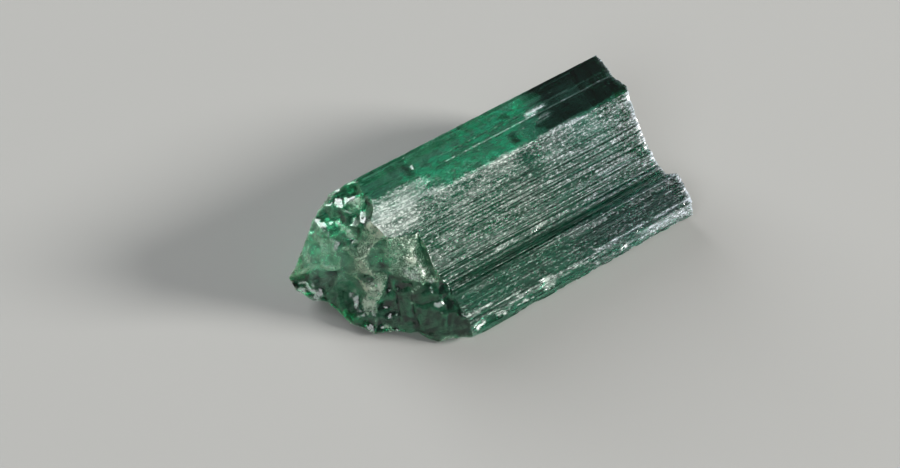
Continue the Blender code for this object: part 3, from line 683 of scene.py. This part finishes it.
def skin_lines(section):
    """The girths at which the skin has a line: corners, striae, rims and even steps between them."""
    rims = {round(section.at(corner, past), 4) for _, corner, past, _ in LEFT_RIM + RIGHT_RIM}
    fixed = rims | {round(start, 4) for start in section.starts[:-1]}
    lines = sorted(fixed | {round(section.at(corner, past), 4) for corner, past, _, _ in STRIAE})
    kept = [lines[0]]
    for line in lines[1:]:
        if line in fixed or line - kept[-1] > 0.5 * SKIN_STEP:
            kept.append(line)
    filled = []
    for line, following in zip(kept, kept[1:] + [section.girth]):
        face = section.names[int(section.faces(line))]
        step = HIDDEN_STEP if face in HIDDEN_FACES else SKIN_STEP
        parts = max(1, math.ceil((following - line) / step))
        filled.extend(line + (following - line) * part / parts for part in range(parts))
    return np.array(filled)


def rim_x(section, rim, girths):
    """x of an end's rim at some girths."""
    places = [section.at(corner, past) for _, corner, past, _ in rim]
    values = [x for _, _, _, x in rim]
    return np.interp(girths, places + [section.girth], values + [values[0]])


def ring_places(section, girths):
    """x of the skin's points, one row for each line: even rings, and fitted ones at both rims."""
    left = rim_x(section, LEFT_RIM, girths)[:, None]
    right = rim_x(section, RIGHT_RIM, girths)[:, None]
    count = round((LAST_STATION - FIRST_STATION) / STATION_STEP) + 1
    stations = np.linspace(FIRST_STATION, LAST_STATION, count)[None, :]
    left_shares = np.linspace(0, 1, LEFT_RINGS + 1)[None, :-1]
    right_shares = np.linspace(0, 1, RIGHT_RINGS + 1)[None, 1:]
    return np.concatenate([left + (FIRST_STATION - left) * left_shares,
                           np.repeat(stations, len(girths), axis=0),
                           LAST_STATION + (right - LAST_STATION) * right_shares], axis=1)


def skin_grid(section, girths):
    """The points of the skin, one row for each line, and their x, girth and height of fine striae."""
    x = ring_places(section, girths)
    girth = np.repeat(girths[:, None], x.shape[1], axis=1)
    chance = np.random.default_rng(SEED)
    striae = fine_striae(section, x, girth, chance)
    height = main_relief(section, x, girth) + striae
    height += dents(x, girth, scatter(section, CHIPS_AND_PITS, chance))
    flat, outward = section.places(girths)
    y = flat[:, :1] + height * outward[:, :1]
    z = np.maximum(FLAT_BASE, flat[:, 1:] + height * outward[:, 1:])
    return np.stack([x, y, z], axis=2), x, girth, striae


def patches(x, girth, places, raggedness):
    """Ragged oblong patches. Each is first x, last x, first girth, last girth, soft edge, amount."""
    spots = np.stack([1.1 * x.ravel(), 3 * girth.ravel(), np.zeros(x.size)], axis=1)
    ragged = raggedness * grain(spots, 1, 4).reshape(x.shape)
    total = np.zeros(x.shape)
    for first, last, low, high, soft, amount in places:
        along = np.minimum(x - first, last - x) / soft + ragged
        across = np.minimum(girth - low, high - girth) / (RAGGED * soft) + ragged
        total += amount * np.clip(np.minimum(along, across) + 0.5, 0, 1)
    return total


def skin_looks(section, x, girth, striae):
    """The frost, the darkness and the share of veil at every point of the skin, with painted shade in the
    darkness and painted light on the ridges.
    """
    groove = np.clip(-striae / DEEP_STRIA, 0, 1)
    ridge = np.clip(striae / DEEP_STRIA, 0, 1)
    clouded = patches(x, girth, FROST_PATCHES, 0.5)
    contrast = np.clip(1 - CLOUD_CALM * clouded, 0, 1)
    below = (girth - section.at("shoulder", 0)) / CALM_BELOW
    contrast *= 1 - CALM_SHARE * np.clip(1 - below, 0, 1)
    # Painted light on the ridges and painted shade in the grooves of the fine striae, calmer near the
    # shoulder and under frost.
    lines = 1 + contrast * (RIDGE_PAINTED_LIGHT * ridge - GROOVE_SHADE_CLEAR * groove)
    frost = section.values(girth, FACE_FROST) * lines + clouded
    frost -= dents(x, girth, scatter(section, FLECKS, np.random.default_rng(SEED)))
    frost += RIM_FROST * np.clip(1 - (x[:, -1:] - x) / RIM_REACH, 0, 1)
    # Painted shade: the glass behind the front and lower faces, in the grooves and along the crease above
    # the groove is darkened; the patches at +X are the stone's dark zone.
    dark = section.values(girth, FACE_PAINTED_SHADE) + patches(x, girth, DARK_PATCHES, 0.2)
    dark = np.maximum(dark, GROOVE_PAINTED_SHADE * groove * contrast)
    veil = np.clip(patches(x, girth, VEILS, 0.5), 0, 1)
    return np.stack([frost, dark, veil], axis=2)


class Body:
    """The growing solid. Points are shared by their place, and each triangle keeps its own looks."""

    def __init__(self):
        self.points = []
        self.loose = []
        self.found = {}
        self.triangles = []
        self.looks = []
        self.skin = []

    def vertex(self, point, loose):
        """The number of a point. Loose is how far the wobble of the broken ends moves it."""
        key = tuple(round(float(value), 5) for value in point)
        if key not in self.found:
            self.found[key] = len(self.points)
            self.points.append(key)
            self.loose.append(loose)
        number = self.found[key]
        self.loose[number] = max(self.loose[number], loose)
        return number

    def triangle(self, corners, looks, skin):
        """Adds a triangle. Looks are the frost, darkness and tint at each corner. Skin is 1 on the
        long faces, where tint is the share of veil, and 0 on the broken ends, where it is warmth.
        """
        if len(set(corners)) == 3:
            self.triangles.append(corners)
            self.looks.append(looks)
            self.skin.append(skin)


def add_skin(body, grid, x, looks):
    """Adds two triangles between each four neighbouring points of the skin."""
    from_rim = np.minimum(x - x[:, :1], x[:, -1:] - x)
    loose = np.clip(1 - from_rim / RIM_REACH, 0, 1)
    rows, columns = x.shape
    numbers = [[body.vertex(grid[row, column], float(loose[row, column])) for column in range(columns)]
               for row in range(rows)]
    for row, column in product(range(rows), range(columns - 1)):
        after = (row + 1) % rows
        for corners in (((row, column), (row, column + 1), (after, column + 1)),
                        ((row, column), (after, column + 1), (after, column))):
            body.triangle([numbers[line][place] for line, place in corners],
                          [looks[corner] for corner in corners], 1)


class FractureNet:
    """One end: edges between corners, shared by the faces on both sides."""

    def __init__(self, section, girths, rim_points, rim, corners):
        self.corners = {name: np.array(point) for name, point in corners.items()}
        self.runs = {}
        places = [int(np.argmin(np.abs(girths - section.at(corner, past)))) for _, corner, past, _ in rim]
        names = [name for name, _, _, _ in rim]
        for number, (name, first) in enumerate(zip(names, places)):
            self.corners[name] = rim_points[first]
            after = (number + 1) % len(rim)
            last = places[after] + (len(girths) if places[after] <= first else 0)
            run = [rim_points[place % len(girths)] for place in range(first + 1, last)]
            self.keep(name, names[after], run)

    def keep(self, start, finish, run):
        """Keeps the points between two corners, so that both faces at an edge get the same ones."""
        self.runs[start, finish] = run
        self.runs[finish, start] = run[::-1]

    def edge(self, start, finish):
        """The points of an edge, without its last corner."""
        if (start, finish) not in self.runs:
            first, last = sorted((start, finish))
            a, b = self.corners[first], self.corners[last]
            parts = max(1, round(float(np.linalg.norm(b - a)) / FRACTURE_CELL))
            self.keep(first, last, [a + (b - a) * part / parts for part in range(1, parts)])
        return [self.corners[start]] + self.runs[start, finish]

    def outline(self, names):
        """The points all around a face, from the names of its corners."""
        points = []
        for start, finish in zip(names, names[1:] + names[:1]):
            points += self.edge(start, finish)
        return np.array(points)


def are_inside(points, outline):
    """Which flat points lie in a flat outline."""
    a, b = outline, np.roll(outline, -1, axis=0)
    x, y = points[:, :1], points[:, 1:]
    crossing = (a[:, 1] > y) != (b[:, 1] > y)
    rise = np.where(b[:, 1] == a[:, 1], 1, b[:, 1] - a[:, 1])
    where = a[:, 0] + (y - a[:, 1]) * (b[:, 0] - a[:, 0]) / rise
    return np.sum(crossing & (x < where), axis=1) % 2 == 1


def distances_to(points, outline):
    """How far flat points are from a flat outline."""
    along = np.roll(outline, -1, axis=0) - outline
    from_start = points[:, None, :] - outline[None, :, :]
    share = np.clip(np.sum(from_start * along, axis=2) / np.sum(along * along, axis=1), 0, 1)
    return np.min(np.linalg.norm(from_start - share[:, :, None] * along, axis=2), axis=1)


def blend(points, outline, values):
    """Smooth values inside an outline from the values on it (mean value coordinates)."""
    offsets = outline[None, :, :] - points[:, None, :]
    reach = np.linalg.norm(offsets, axis=2)
    following = np.roll(offsets, -1, axis=1)
    cross = offsets[:, :, 0] * following[:, :, 1] - offsets[:, :, 1] * following[:, :, 0]
    half = np.tan(np.arctan2(cross, np.sum(offsets * following, axis=2)) / 2)
    weights = (half + np.roll(half, 1, axis=1)) / reach
    return np.sum(weights * values, axis=1) / np.sum(weights, axis=1)


def hex_grid(low, high, cell):
    """Points in even rows, shifted by half a cell in every other row."""
    rows = np.arange(int((high[1] - low[1]) / (HEX_ROW * cell)) + 1)
    columns = np.arange(int((high[0] - low[0]) / cell) + 1)
    column, row = np.meshgrid(columns, rows)
    x = low[0] + cell * (column + 0.5 * (row % 2))
    return np.stack([x.ravel(), low[1] + cell * HEX_ROW * row.ravel()], axis=1)


def inner_places(flat):
    """Even places inside a flat outline, and how far each of them is from it."""
    places = hex_grid(flat.min(axis=0), flat.max(axis=0), FRACTURE_CELL)
    places = places[are_inside(places, flat)]
    depths = distances_to(places, flat)
    kept = depths > 0.5 * FRACTURE_CELL
    return places[kept], depths[kept]


def ripples(points, centre):
    """Curved steps round the point that a conchoidal fracture started from."""
    away = np.linalg.norm(points - centre, axis=1)
    return zigzag((away + BEND * grain(points, 0.9, 2)) / RIPPLE_GAP)


def creases(points):
    """Folds that run in several directions, as where a fracture jumped between planes."""
    bend = BEND * grain(points, 0.8, 1)
    return sum(gap * zigzag((points @ np.array(direction) + bend) / gap) for direction, gap in CREASES)


def fracture_height(level, depths, start, bulge, finish):
    """How far a fracture surface stands out from the plane of its face."""
    rough = finish.swells * grain(level, 1 / finish.span, 2)
    rough += finish.crags * (crags(level) - CRAG_MEAN)
    rough += finish.ripples * ripples(level, start) + finish.creases * creases(level)
    middle = 1 - depths / depths.max(initial=0)
    return bulge * (1 - middle ** 2) + np.minimum(1, depths / EASE) * rough


def looks_at(points, finish):
    """The frost, darkness and warmth at some points of a fracture face, with its spots of painted glints
    and shade.
    """
    looks = np.tile([finish.frost, finish.dark, finish.warm], (len(points), 1))
    ragged = 0.5 * grain(points, 4, 3)
    for x, y, z, radius, frost, dark, warm in GLINT_SHADE_AND_FROST_SPOTS:
        away = np.linalg.norm(points - np.array([x, y, z]), axis=1) / radius
        share = np.clip(STEEP * (1 - away) + 0.5 + ragged, 0, 1)
        looks += share[:, None] * np.array([frost, dark, warm])
    return np.clip(looks, 0, MOST_LOOKS)


def fracture_plane(outline):
    """The middle of an outline, and the directions across, up and out of its plane."""
    total = np.cross(outline, np.roll(outline, -1, axis=0)).sum(axis=0)
    normal = total / np.linalg.norm(total)
    first = outline[1] - outline[0]
    across = first - normal * float(first @ normal)
    across /= np.linalg.norm(across)
    return outline.mean(axis=0), across, np.cross(normal, across), normal


def triangulate(outline, inner):
    """Triangles, as numbers of points: those of a flat outline, then those inside it."""
    ring = [(number, (number + 1) % len(outline)) for number in range(len(outline))]
    places = [Vector(point) for point in np.concatenate([outline, inner])]
    _, _, triangles, origins, _, _ = delaunay_2d_cdt(places, ring, [], 1, SAME_PLACE)
    return [[origins[number][0] for number in triangle] for triangle in triangles]


def add_fracture_face(body, outline, bulge, finish):
    """Fills an outline with triangles that have the face's relief and looks."""
    centre, across, up, normal = fracture_plane(outline)
    flat = np.stack([(outline - centre) @ across, (outline - centre) @ up], axis=1)
    inner, depths = inner_places(flat)
    lift = blend(inner, flat, (outline - centre) @ normal)
    level = centre + inner[:, :1] * across + inner[:, 1:] * up + lift[:, None] * normal
    start = outline[0] + RIPPLE_START * (outline[0] - centre)
    outward = 1 if normal[0] * centre[0] > 0 else -1
    height = outward * fracture_height(level, depths, start, bulge, finish)
    points = np.concatenate([outline, level + height[:, None] * normal])
    calm = (1 - finish.ragged) * np.minimum(1, depths / RAGGED_RIM)
    loose = np.concatenate([np.ones(len(outline)), 1 - calm])
    vertices = [body.vertex(point, amount) for point, amount in zip(points, loose)]
    looks = looks_at(np.concatenate([outline, level]), finish)
    for numbers in triangulate(flat, inner):
        body.triangle([vertices[number] for number in numbers], looks[numbers], 0)


def add_end(body, section, girths, rim_points, rim, corners, faces):
    """Closes one end of the skin."""
    net = FractureNet(section, girths, rim_points, rim, corners)
    for names, bulge, finish in faces:
        add_fracture_face(body, net.outline(names.split()), bulge, FINISHES[finish])


def wobble(body):
    """Moves the points of the broken ends a little, so that no edge between facets is straight."""
    noise.seed_set(SEED)
    for number, (point, amount) in enumerate(zip(body.points, body.loose)):
        if amount > LEAST_LOOSE:
            place = Vector(point)
            shift = sum((noise.noise_vector(place * lumps) * far for lumps, far in WOBBLES), Vector())
            moved = place + shift * amount
            moved.z = max(moved.z, FLAT_BASE)
            body.points[number] = tuple(moved)


def soften(body):
    """Lets the looks of neighbouring fracture faces run into each other."""
    looks = np.array(body.looks)
    broken = np.array(body.skin) == 0
    corners = np.array(body.triangles)[broken]
    own = looks[broken]
    count = np.bincount(corners.ravel(), minlength=len(body.points))
    for _ in range(SOFT_ROUNDS):
        sums = np.zeros((len(body.points), 3))
        np.add.at(sums, corners.ravel(), own.reshape(-1, 3))
        shared = sums[corners] / count[corners][:, :, None]
        own = 0.5 * shared + 0.5 * shared.mean(axis=1, keepdims=True)
    looks[broken] = own
    return looks


def neighbour_mean(corners, values):
    """The mean of some values over the neighbours of each point, or zero where there are none."""
    sums = np.zeros_like(values)
    count = np.zeros((len(values), 1))
    for one in range(3):
        for other in (one - 1, one - 2):
            np.add.at(sums, corners[:, one], values[corners[:, other]])
            np.add.at(count, corners[:, one], 1)
    return sums / np.maximum(count, 1)


def worn_edges_and_shaded_hollows(mesh, body):
    """How much each point of the broken ends stands out, from -1 in a hollow to 1 on a sharp edge; hollows
    get painted shade and edges look worn.
    """
    points = np.array(body.points)
    normals = np.zeros(points.size)
    mesh.vertices.foreach_get("normal", normals)
    corners = np.array(body.triangles)[np.array(body.skin) == 0]
    away = points - neighbour_mean(corners, points)
    stand_out = np.sum(away * normals.reshape(-1, 3), axis=1) / FRACTURE_CELL
    broken = np.bincount(corners.ravel(), minlength=len(points)) > 0
    stand_out = np.where(broken, stand_out, 0)
    smoothed = 0.5 * stand_out + 0.5 * neighbour_mean(corners, stand_out[:, None])[:, 0]
    return np.clip(WEAR_AND_HOLLOW_SHADE * smoothed, -1, 1)


def face_outward(mesh):
    """Turns all triangles so that they face outwards."""
    shape = bmesh.new()
    shape.from_mesh(mesh)
    bmesh.ops.recalc_face_normals(shape, faces=shape.faces)
    shape.to_mesh(mesh)
    shape.free()


def add_layer(mesh, name, domain, values):
    """Stores values for each corner, face or point of a mesh."""
    layer = mesh.attributes.new(name, "FLOAT", domain)
    layer.data.foreach_set("value", np.array(values, dtype=np.float32).ravel())


def build_body():
    """The whole crystal: its skin and both broken ends."""
    section = Section()
    girths = skin_lines(section)
    grid, x, girth, striae = skin_grid(section, girths)
    body = Body()
    add_skin(body, grid, x, skin_looks(section, x, girth, striae))
    add_end(body, section, girths, grid[:, 0], LEFT_RIM, LEFT_CORNERS, LEFT_FACES)
    add_end(body, section, girths, grid[:, -1], RIGHT_RIM, RIGHT_CORNERS, RIGHT_FACES)
    wobble(body)
    return body


def build_mesh():
    """The crystal as a mesh, with the layers that its material reads."""
    body = build_body()
    mesh = bpy.data.meshes.new("tourmaline")
    mesh.from_pydata([Vector(point) * MM for point in body.points], [], body.triangles)
    looks = soften(body)
    for number, name in enumerate(("frost", "dark", "tint")):
        add_layer(mesh, name, "CORNER", looks[:, :, number])
    add_layer(mesh, "skin", "FACE", body.skin)
    face_outward(mesh)
    add_layer(mesh, "wear_and_hollow_shade", "POINT", worn_edges_and_shaded_hollows(mesh, body))
    mesh.set_sharp_from_angle(angle=math.radians(SHARP_ANGLE))
    return mesh


class Nodes:
    """A new material and its nodes. Each value is a constant or another node's socket."""

    def __init__(self, name):
        self.material = bpy.data.materials.new(name)
        self.material.use_nodes = True
        self.tree = self.material.node_tree

    def fill(self, node, inputs):
        """Sets or links inputs of a node."""
        for name, value in inputs.items():
            if isinstance(value, bpy.types.NodeSocket):
                self.tree.links.new(value, node.inputs[name])
            else:
                node.inputs[name].default_value = value

    def fill_named(self, name, inputs):
        """The same for a node that the material came with."""
        self.fill(self.tree.nodes[name], inputs)

    def add(self, kind, inputs=None, **settings):
        node = self.tree.nodes.new(kind)
        for name, value in settings.items():
            setattr(node, name, value)
        self.fill(node, inputs or {})
        return node

    def layer(self, name):
        return self.add("ShaderNodeAttribute", attribute_name=name).outputs["Fac"]

    def math(self, operation, a, b, clamp=False):
        node = self.add("ShaderNodeMath", {0: a, 1: b}, operation=operation, use_clamp=clamp)
        return node.outputs[0]

    def plus(self, a, b, clamp=False):
        return self.math("ADD", a, b, clamp)

    def times(self, a, b, clamp=False):
        return self.math("MULTIPLY", a, b, clamp)

    def ramp(self, value, low, high, to_low, to_high):
        """A value carried from one range to another."""
        inputs = {"Value": value, "From Min": low, "From Max": high, "To Min": to_low, "To Max": to_high}
        return self.add("ShaderNodeMapRange", inputs).outputs["Result"]

    def mix(self, factor, a, b):
        """Colour a where the factor is 0, and b where it is 1."""
        return self.add("ShaderNodeMix", {0: factor, 6: a, 7: b}, data_type="RGBA").outputs[2]

    def blend(self, factor, a, b):
        """The same for plain values."""
        return self.add("ShaderNodeMix", {0: factor, 2: a, 3: b}).outputs[0]

    def noise(self, place, grains):
        """Noise from a row of numbers like STREAKS."""
        size, stretch, detail, roughness = grains
        scale = 1 / (size * MM)
        turned = self.add("ShaderNodeMapping", {"Vector": place, "Scale": (scale / stretch, scale, scale)})
        inputs = {"Vector": turned.outputs[0], "Scale": 1, "Detail": detail, "Roughness": roughness}
        return self.add("ShaderNodeTexNoise", inputs).outputs["Fac"]


def whiteness(nodes, place, skin, frost, clouds, grains):
    """How white each spot is: its frost, broken up by streaks or lumps, clouds and specks."""
    streaks = nodes.ramp(nodes.noise(place, STREAKS), 0.38, 0.62, -1, 1)
    lumps = nodes.ramp(nodes.noise(place, LUMPS), 0.38, 0.62, -1, 1)
    specks = nodes.ramp(grains, 0.50, 0.68, 0, 1)
    grainy = nodes.blend(skin, nodes.ramp(frost, 0.30, 0.60, 0.30, 1.25), 1)
    mottle = nodes.plus(nodes.times(nodes.blend(skin, lumps, streaks), 0.20), nodes.times(clouds, 0.15))
    mottle = nodes.plus(mottle, nodes.times(grainy, nodes.ramp(specks, 0, 1, -0.38, 0.60)))
    return nodes.times(frost, nodes.plus(mottle, 1), clamp=True)


def base_colour(nodes, place, skin, tint, white, veil, dark):
    """Green glass, darker in the stone's dark zone and with painted shade, under frost that turns blue
    towards +X as a painted reflection, brown on the crest, and white and cream at painted glints.
    """
    across = nodes.add("ShaderNodeSeparateXYZ", {0: place}).outputs["X"]
    # Painted reflection: the frost turns bluish towards +X.
    frosted = nodes.mix(nodes.ramp(across, 1.5 * MM, 6 * MM, 0, 1), GREEN_FROST, BLUISH_SHEEN_FROST)
    broken = nodes.mix(nodes.ramp(white, 0.6, 1, 0, 1), THIN_FROST, THICK_FROST_AND_GLINT)
    frosted = nodes.mix(skin, nodes.mix(tint, broken, BROWN_FROST_AND_CREAM_GLINT), frosted)
    pure = nodes.mix(skin, BROKEN_GLASS, SKIN_GLASS)
    pure = nodes.mix(nodes.ramp(veil, 0, 0.4, 0, 1), pure, VEILED_GLASS)
    return nodes.mix(white, nodes.mix(dark, pure, DARK_GLASS_AND_SHADE), frosted)


def finest_relief(nodes, place, skin, frost, grains):
    """Lines along the skin and pebbles on the broken faces, strongest where the frost is middling."""
    relief = nodes.blend(skin, nodes.noise(place, PEBBLES), nodes.noise(place, HAIRLINES))
    strength = nodes.times(nodes.ramp(frost, 0, 0.4, 0.04, 1), nodes.ramp(frost, 0.65, 0.95, 1, 0.35))
    inputs = {"Height": nodes.plus(relief, grains), "Distance": BUMP_HEIGHT * MM, "Strength": strength}
    return nodes.add("ShaderNodeBump", inputs).outputs["Normal"]


def tourmaline_material():
    """Clear green glass under frost. The mesh's layers say where each of them shows."""
    nodes = Nodes("tourmaline")
    place = nodes.add("ShaderNodeTexCoord").outputs["Object"]
    skin = nodes.layer("skin")
    tint = nodes.layer("tint")
    wear_and_hollow_shade = nodes.layer("wear_and_hollow_shade")
    # Raised broken edges gain frost and lose darkness as wear; hollows lose frost and gain darkness as
    # painted shade.
    frost = nodes.plus(nodes.layer("frost"), nodes.times(wear_and_hollow_shade, WEAR_AND_SHADE_FROST), clamp=True)
    clouds = nodes.ramp(nodes.noise(place, CLOUDS), 0.35, 0.65, -1, 1)
    dark = nodes.math("SUBTRACT", nodes.layer("dark"), nodes.times(wear_and_hollow_shade, WEAR_AND_SHADE_LIGHT))
    dark = nodes.plus(dark, nodes.times(clouds, 0.16), clamp=True)
    grains = nodes.blend(skin, nodes.noise(place, BROKEN_GRAINS), nodes.noise(place, SKIN_GRAINS))
    white = whiteness(nodes, place, skin, frost, clouds, grains)
    wisps = nodes.ramp(nodes.noise(place, WISPS), 0.42, 0.64, 0, 1)
    veil = nodes.times(nodes.times(skin, tint), wisps)
    clear = nodes.math("SUBTRACT", nodes.ramp(white, 0.20, 1, 1, 0.15), nodes.times(veil, VEIL_SHARE))
    rough = nodes.plus(nodes.ramp(white, 0, 0.5, 0.03, 0.27), nodes.blend(skin, 0.05, 0))
    nodes.fill_named("Principled BSDF", {
        "Base Color": base_colour(nodes, place, skin, tint, white, veil, dark),
        "Roughness": rough,
        "IOR": IOR,
        "Transmission Weight": clear,
        "Normal": finest_relief(nodes, place, skin, frost, grains),
    })
    absorb = nodes.add("ShaderNodeVolumeAbsorption", {"Color": ABSORPTION, "Density": DENSITY})
    nodes.fill_named("Material Output", {"Volume": absorb.outputs["Volume"]})
    return nodes.material


def add_object(name, data):
    """A new object in the scene."""
    thing = bpy.data.objects.new(name, data)
    bpy.context.scene.collection.objects.link(thing)
    return thing


def build_crystal():
    """The finished surface, in place of the plain solid."""
    mesh = build_mesh()
    mesh.materials.append(tourmaline_material())
    crystal = add_object("tourmaline_crystal", mesh)
    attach(crystal, "root")
    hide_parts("crystal")


def floor_mesh():
    """The smooth disc that curves up to a low wall."""
    profile = [(0, 0)]
    for turn in np.linspace(0, 0.5 * math.pi, FLOOR_BENDS):
        profile.append((FLOOR_RADIUS - FLOOR_RISE + FLOOR_RISE * math.sin(turn),
                        FLOOR_RISE - FLOOR_RISE * math.cos(turn)))
    shape = bmesh.new()
    line = [shape.verts.new((x, 0, z)) for x, z in profile]
    edges = [shape.edges.new(pair) for pair in zip(line, line[1:])]
    bmesh.ops.spin(shape, geom=line + edges, cent=(0, 0, 0), axis=(0, 0, 1),
                   angle=2 * math.pi, steps=FLOOR_SIDES, use_merge=True)
    bmesh.ops.remove_doubles(shape, verts=shape.verts, dist=1e-6)
    bmesh.ops.recalc_face_normals(shape, faces=shape.faces)
    mesh = bpy.data.meshes.new("floor")
    shape.to_mesh(mesh)
    shape.free()
    for face in mesh.polygons:
        face.use_smooth = True
    return mesh


def build_floor():
    """The pale floor, just under the crystal."""
    nodes = Nodes("floor")
    looks = {"Base Color": FLOOR_COLOUR, "Roughness": FLOOR_ROUGHNESS, "Specular IOR Level": 0.2}
    nodes.fill_named("Principled BSDF", looks)
    mesh = floor_mesh()
    mesh.materials.append(nodes.material)
    floor = add_object("floor", mesh)
    floor.location.z = -FLOOR_GAP * MM


def build_lights():
    """Round soft lights and the sky."""
    for name, direction, size, power, colour in LIGHTS:
        lamp = bpy.data.lights.new(name, "AREA")
        lamp.shape = "DISK"
        lamp.size = size * MM
        lamp.energy = power
        lamp.color = colour
        light = add_object(name, lamp)
        toward = Vector(direction).normalized()
        light.location = toward * LIGHT_DISTANCE * MM
        light.rotation_mode = "QUATERNION"
        light.rotation_quaternion = toward.to_track_quat("Z", "Y")
    world = bpy.data.worlds.new("studio")
    world.use_nodes = True
    sky = world.node_tree.nodes["Background"]
    sky.inputs["Color"].default_value = SKY_COLOUR
    sky.inputs["Strength"].default_value = SKY_STRENGTH
    bpy.context.scene.world = world
    bpy.context.scene.view_settings.view_transform = "Standard"


def build_camera():
    azimuth = math.radians(CAMERA_AZIMUTH)
    elevation = math.radians(CAMERA_ELEVATION)
    back = Vector((math.sin(azimuth) * math.cos(elevation), -math.cos(azimuth) * math.cos(elevation),
                   math.sin(elevation)))
    data = bpy.data.cameras.new("camera")
    data.sensor_width = SENSOR_WIDTH
    data.lens = PIXELS_PER_MM * CAMERA_DISTANCE / FRAME_WIDTH * SENSOR_WIDTH
    data.clip_start = 0.001
    data.clip_end = 10
    camera = add_object("camera", data)
    camera.location = (Vector(CAMERA_AIM) + back * CAMERA_DISTANCE) * MM
    camera.rotation_mode = "QUATERNION"
    camera.rotation_quaternion = (-back).to_track_quat("-Z", "Y")
    bpy.context.scene.camera = camera


def main():
    for old in list(bpy.data.objects):
        bpy.data.objects.remove(old, do_unlink=True)
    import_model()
    build_crystal()
    build_floor()
    build_lights()
    build_camera()


main()
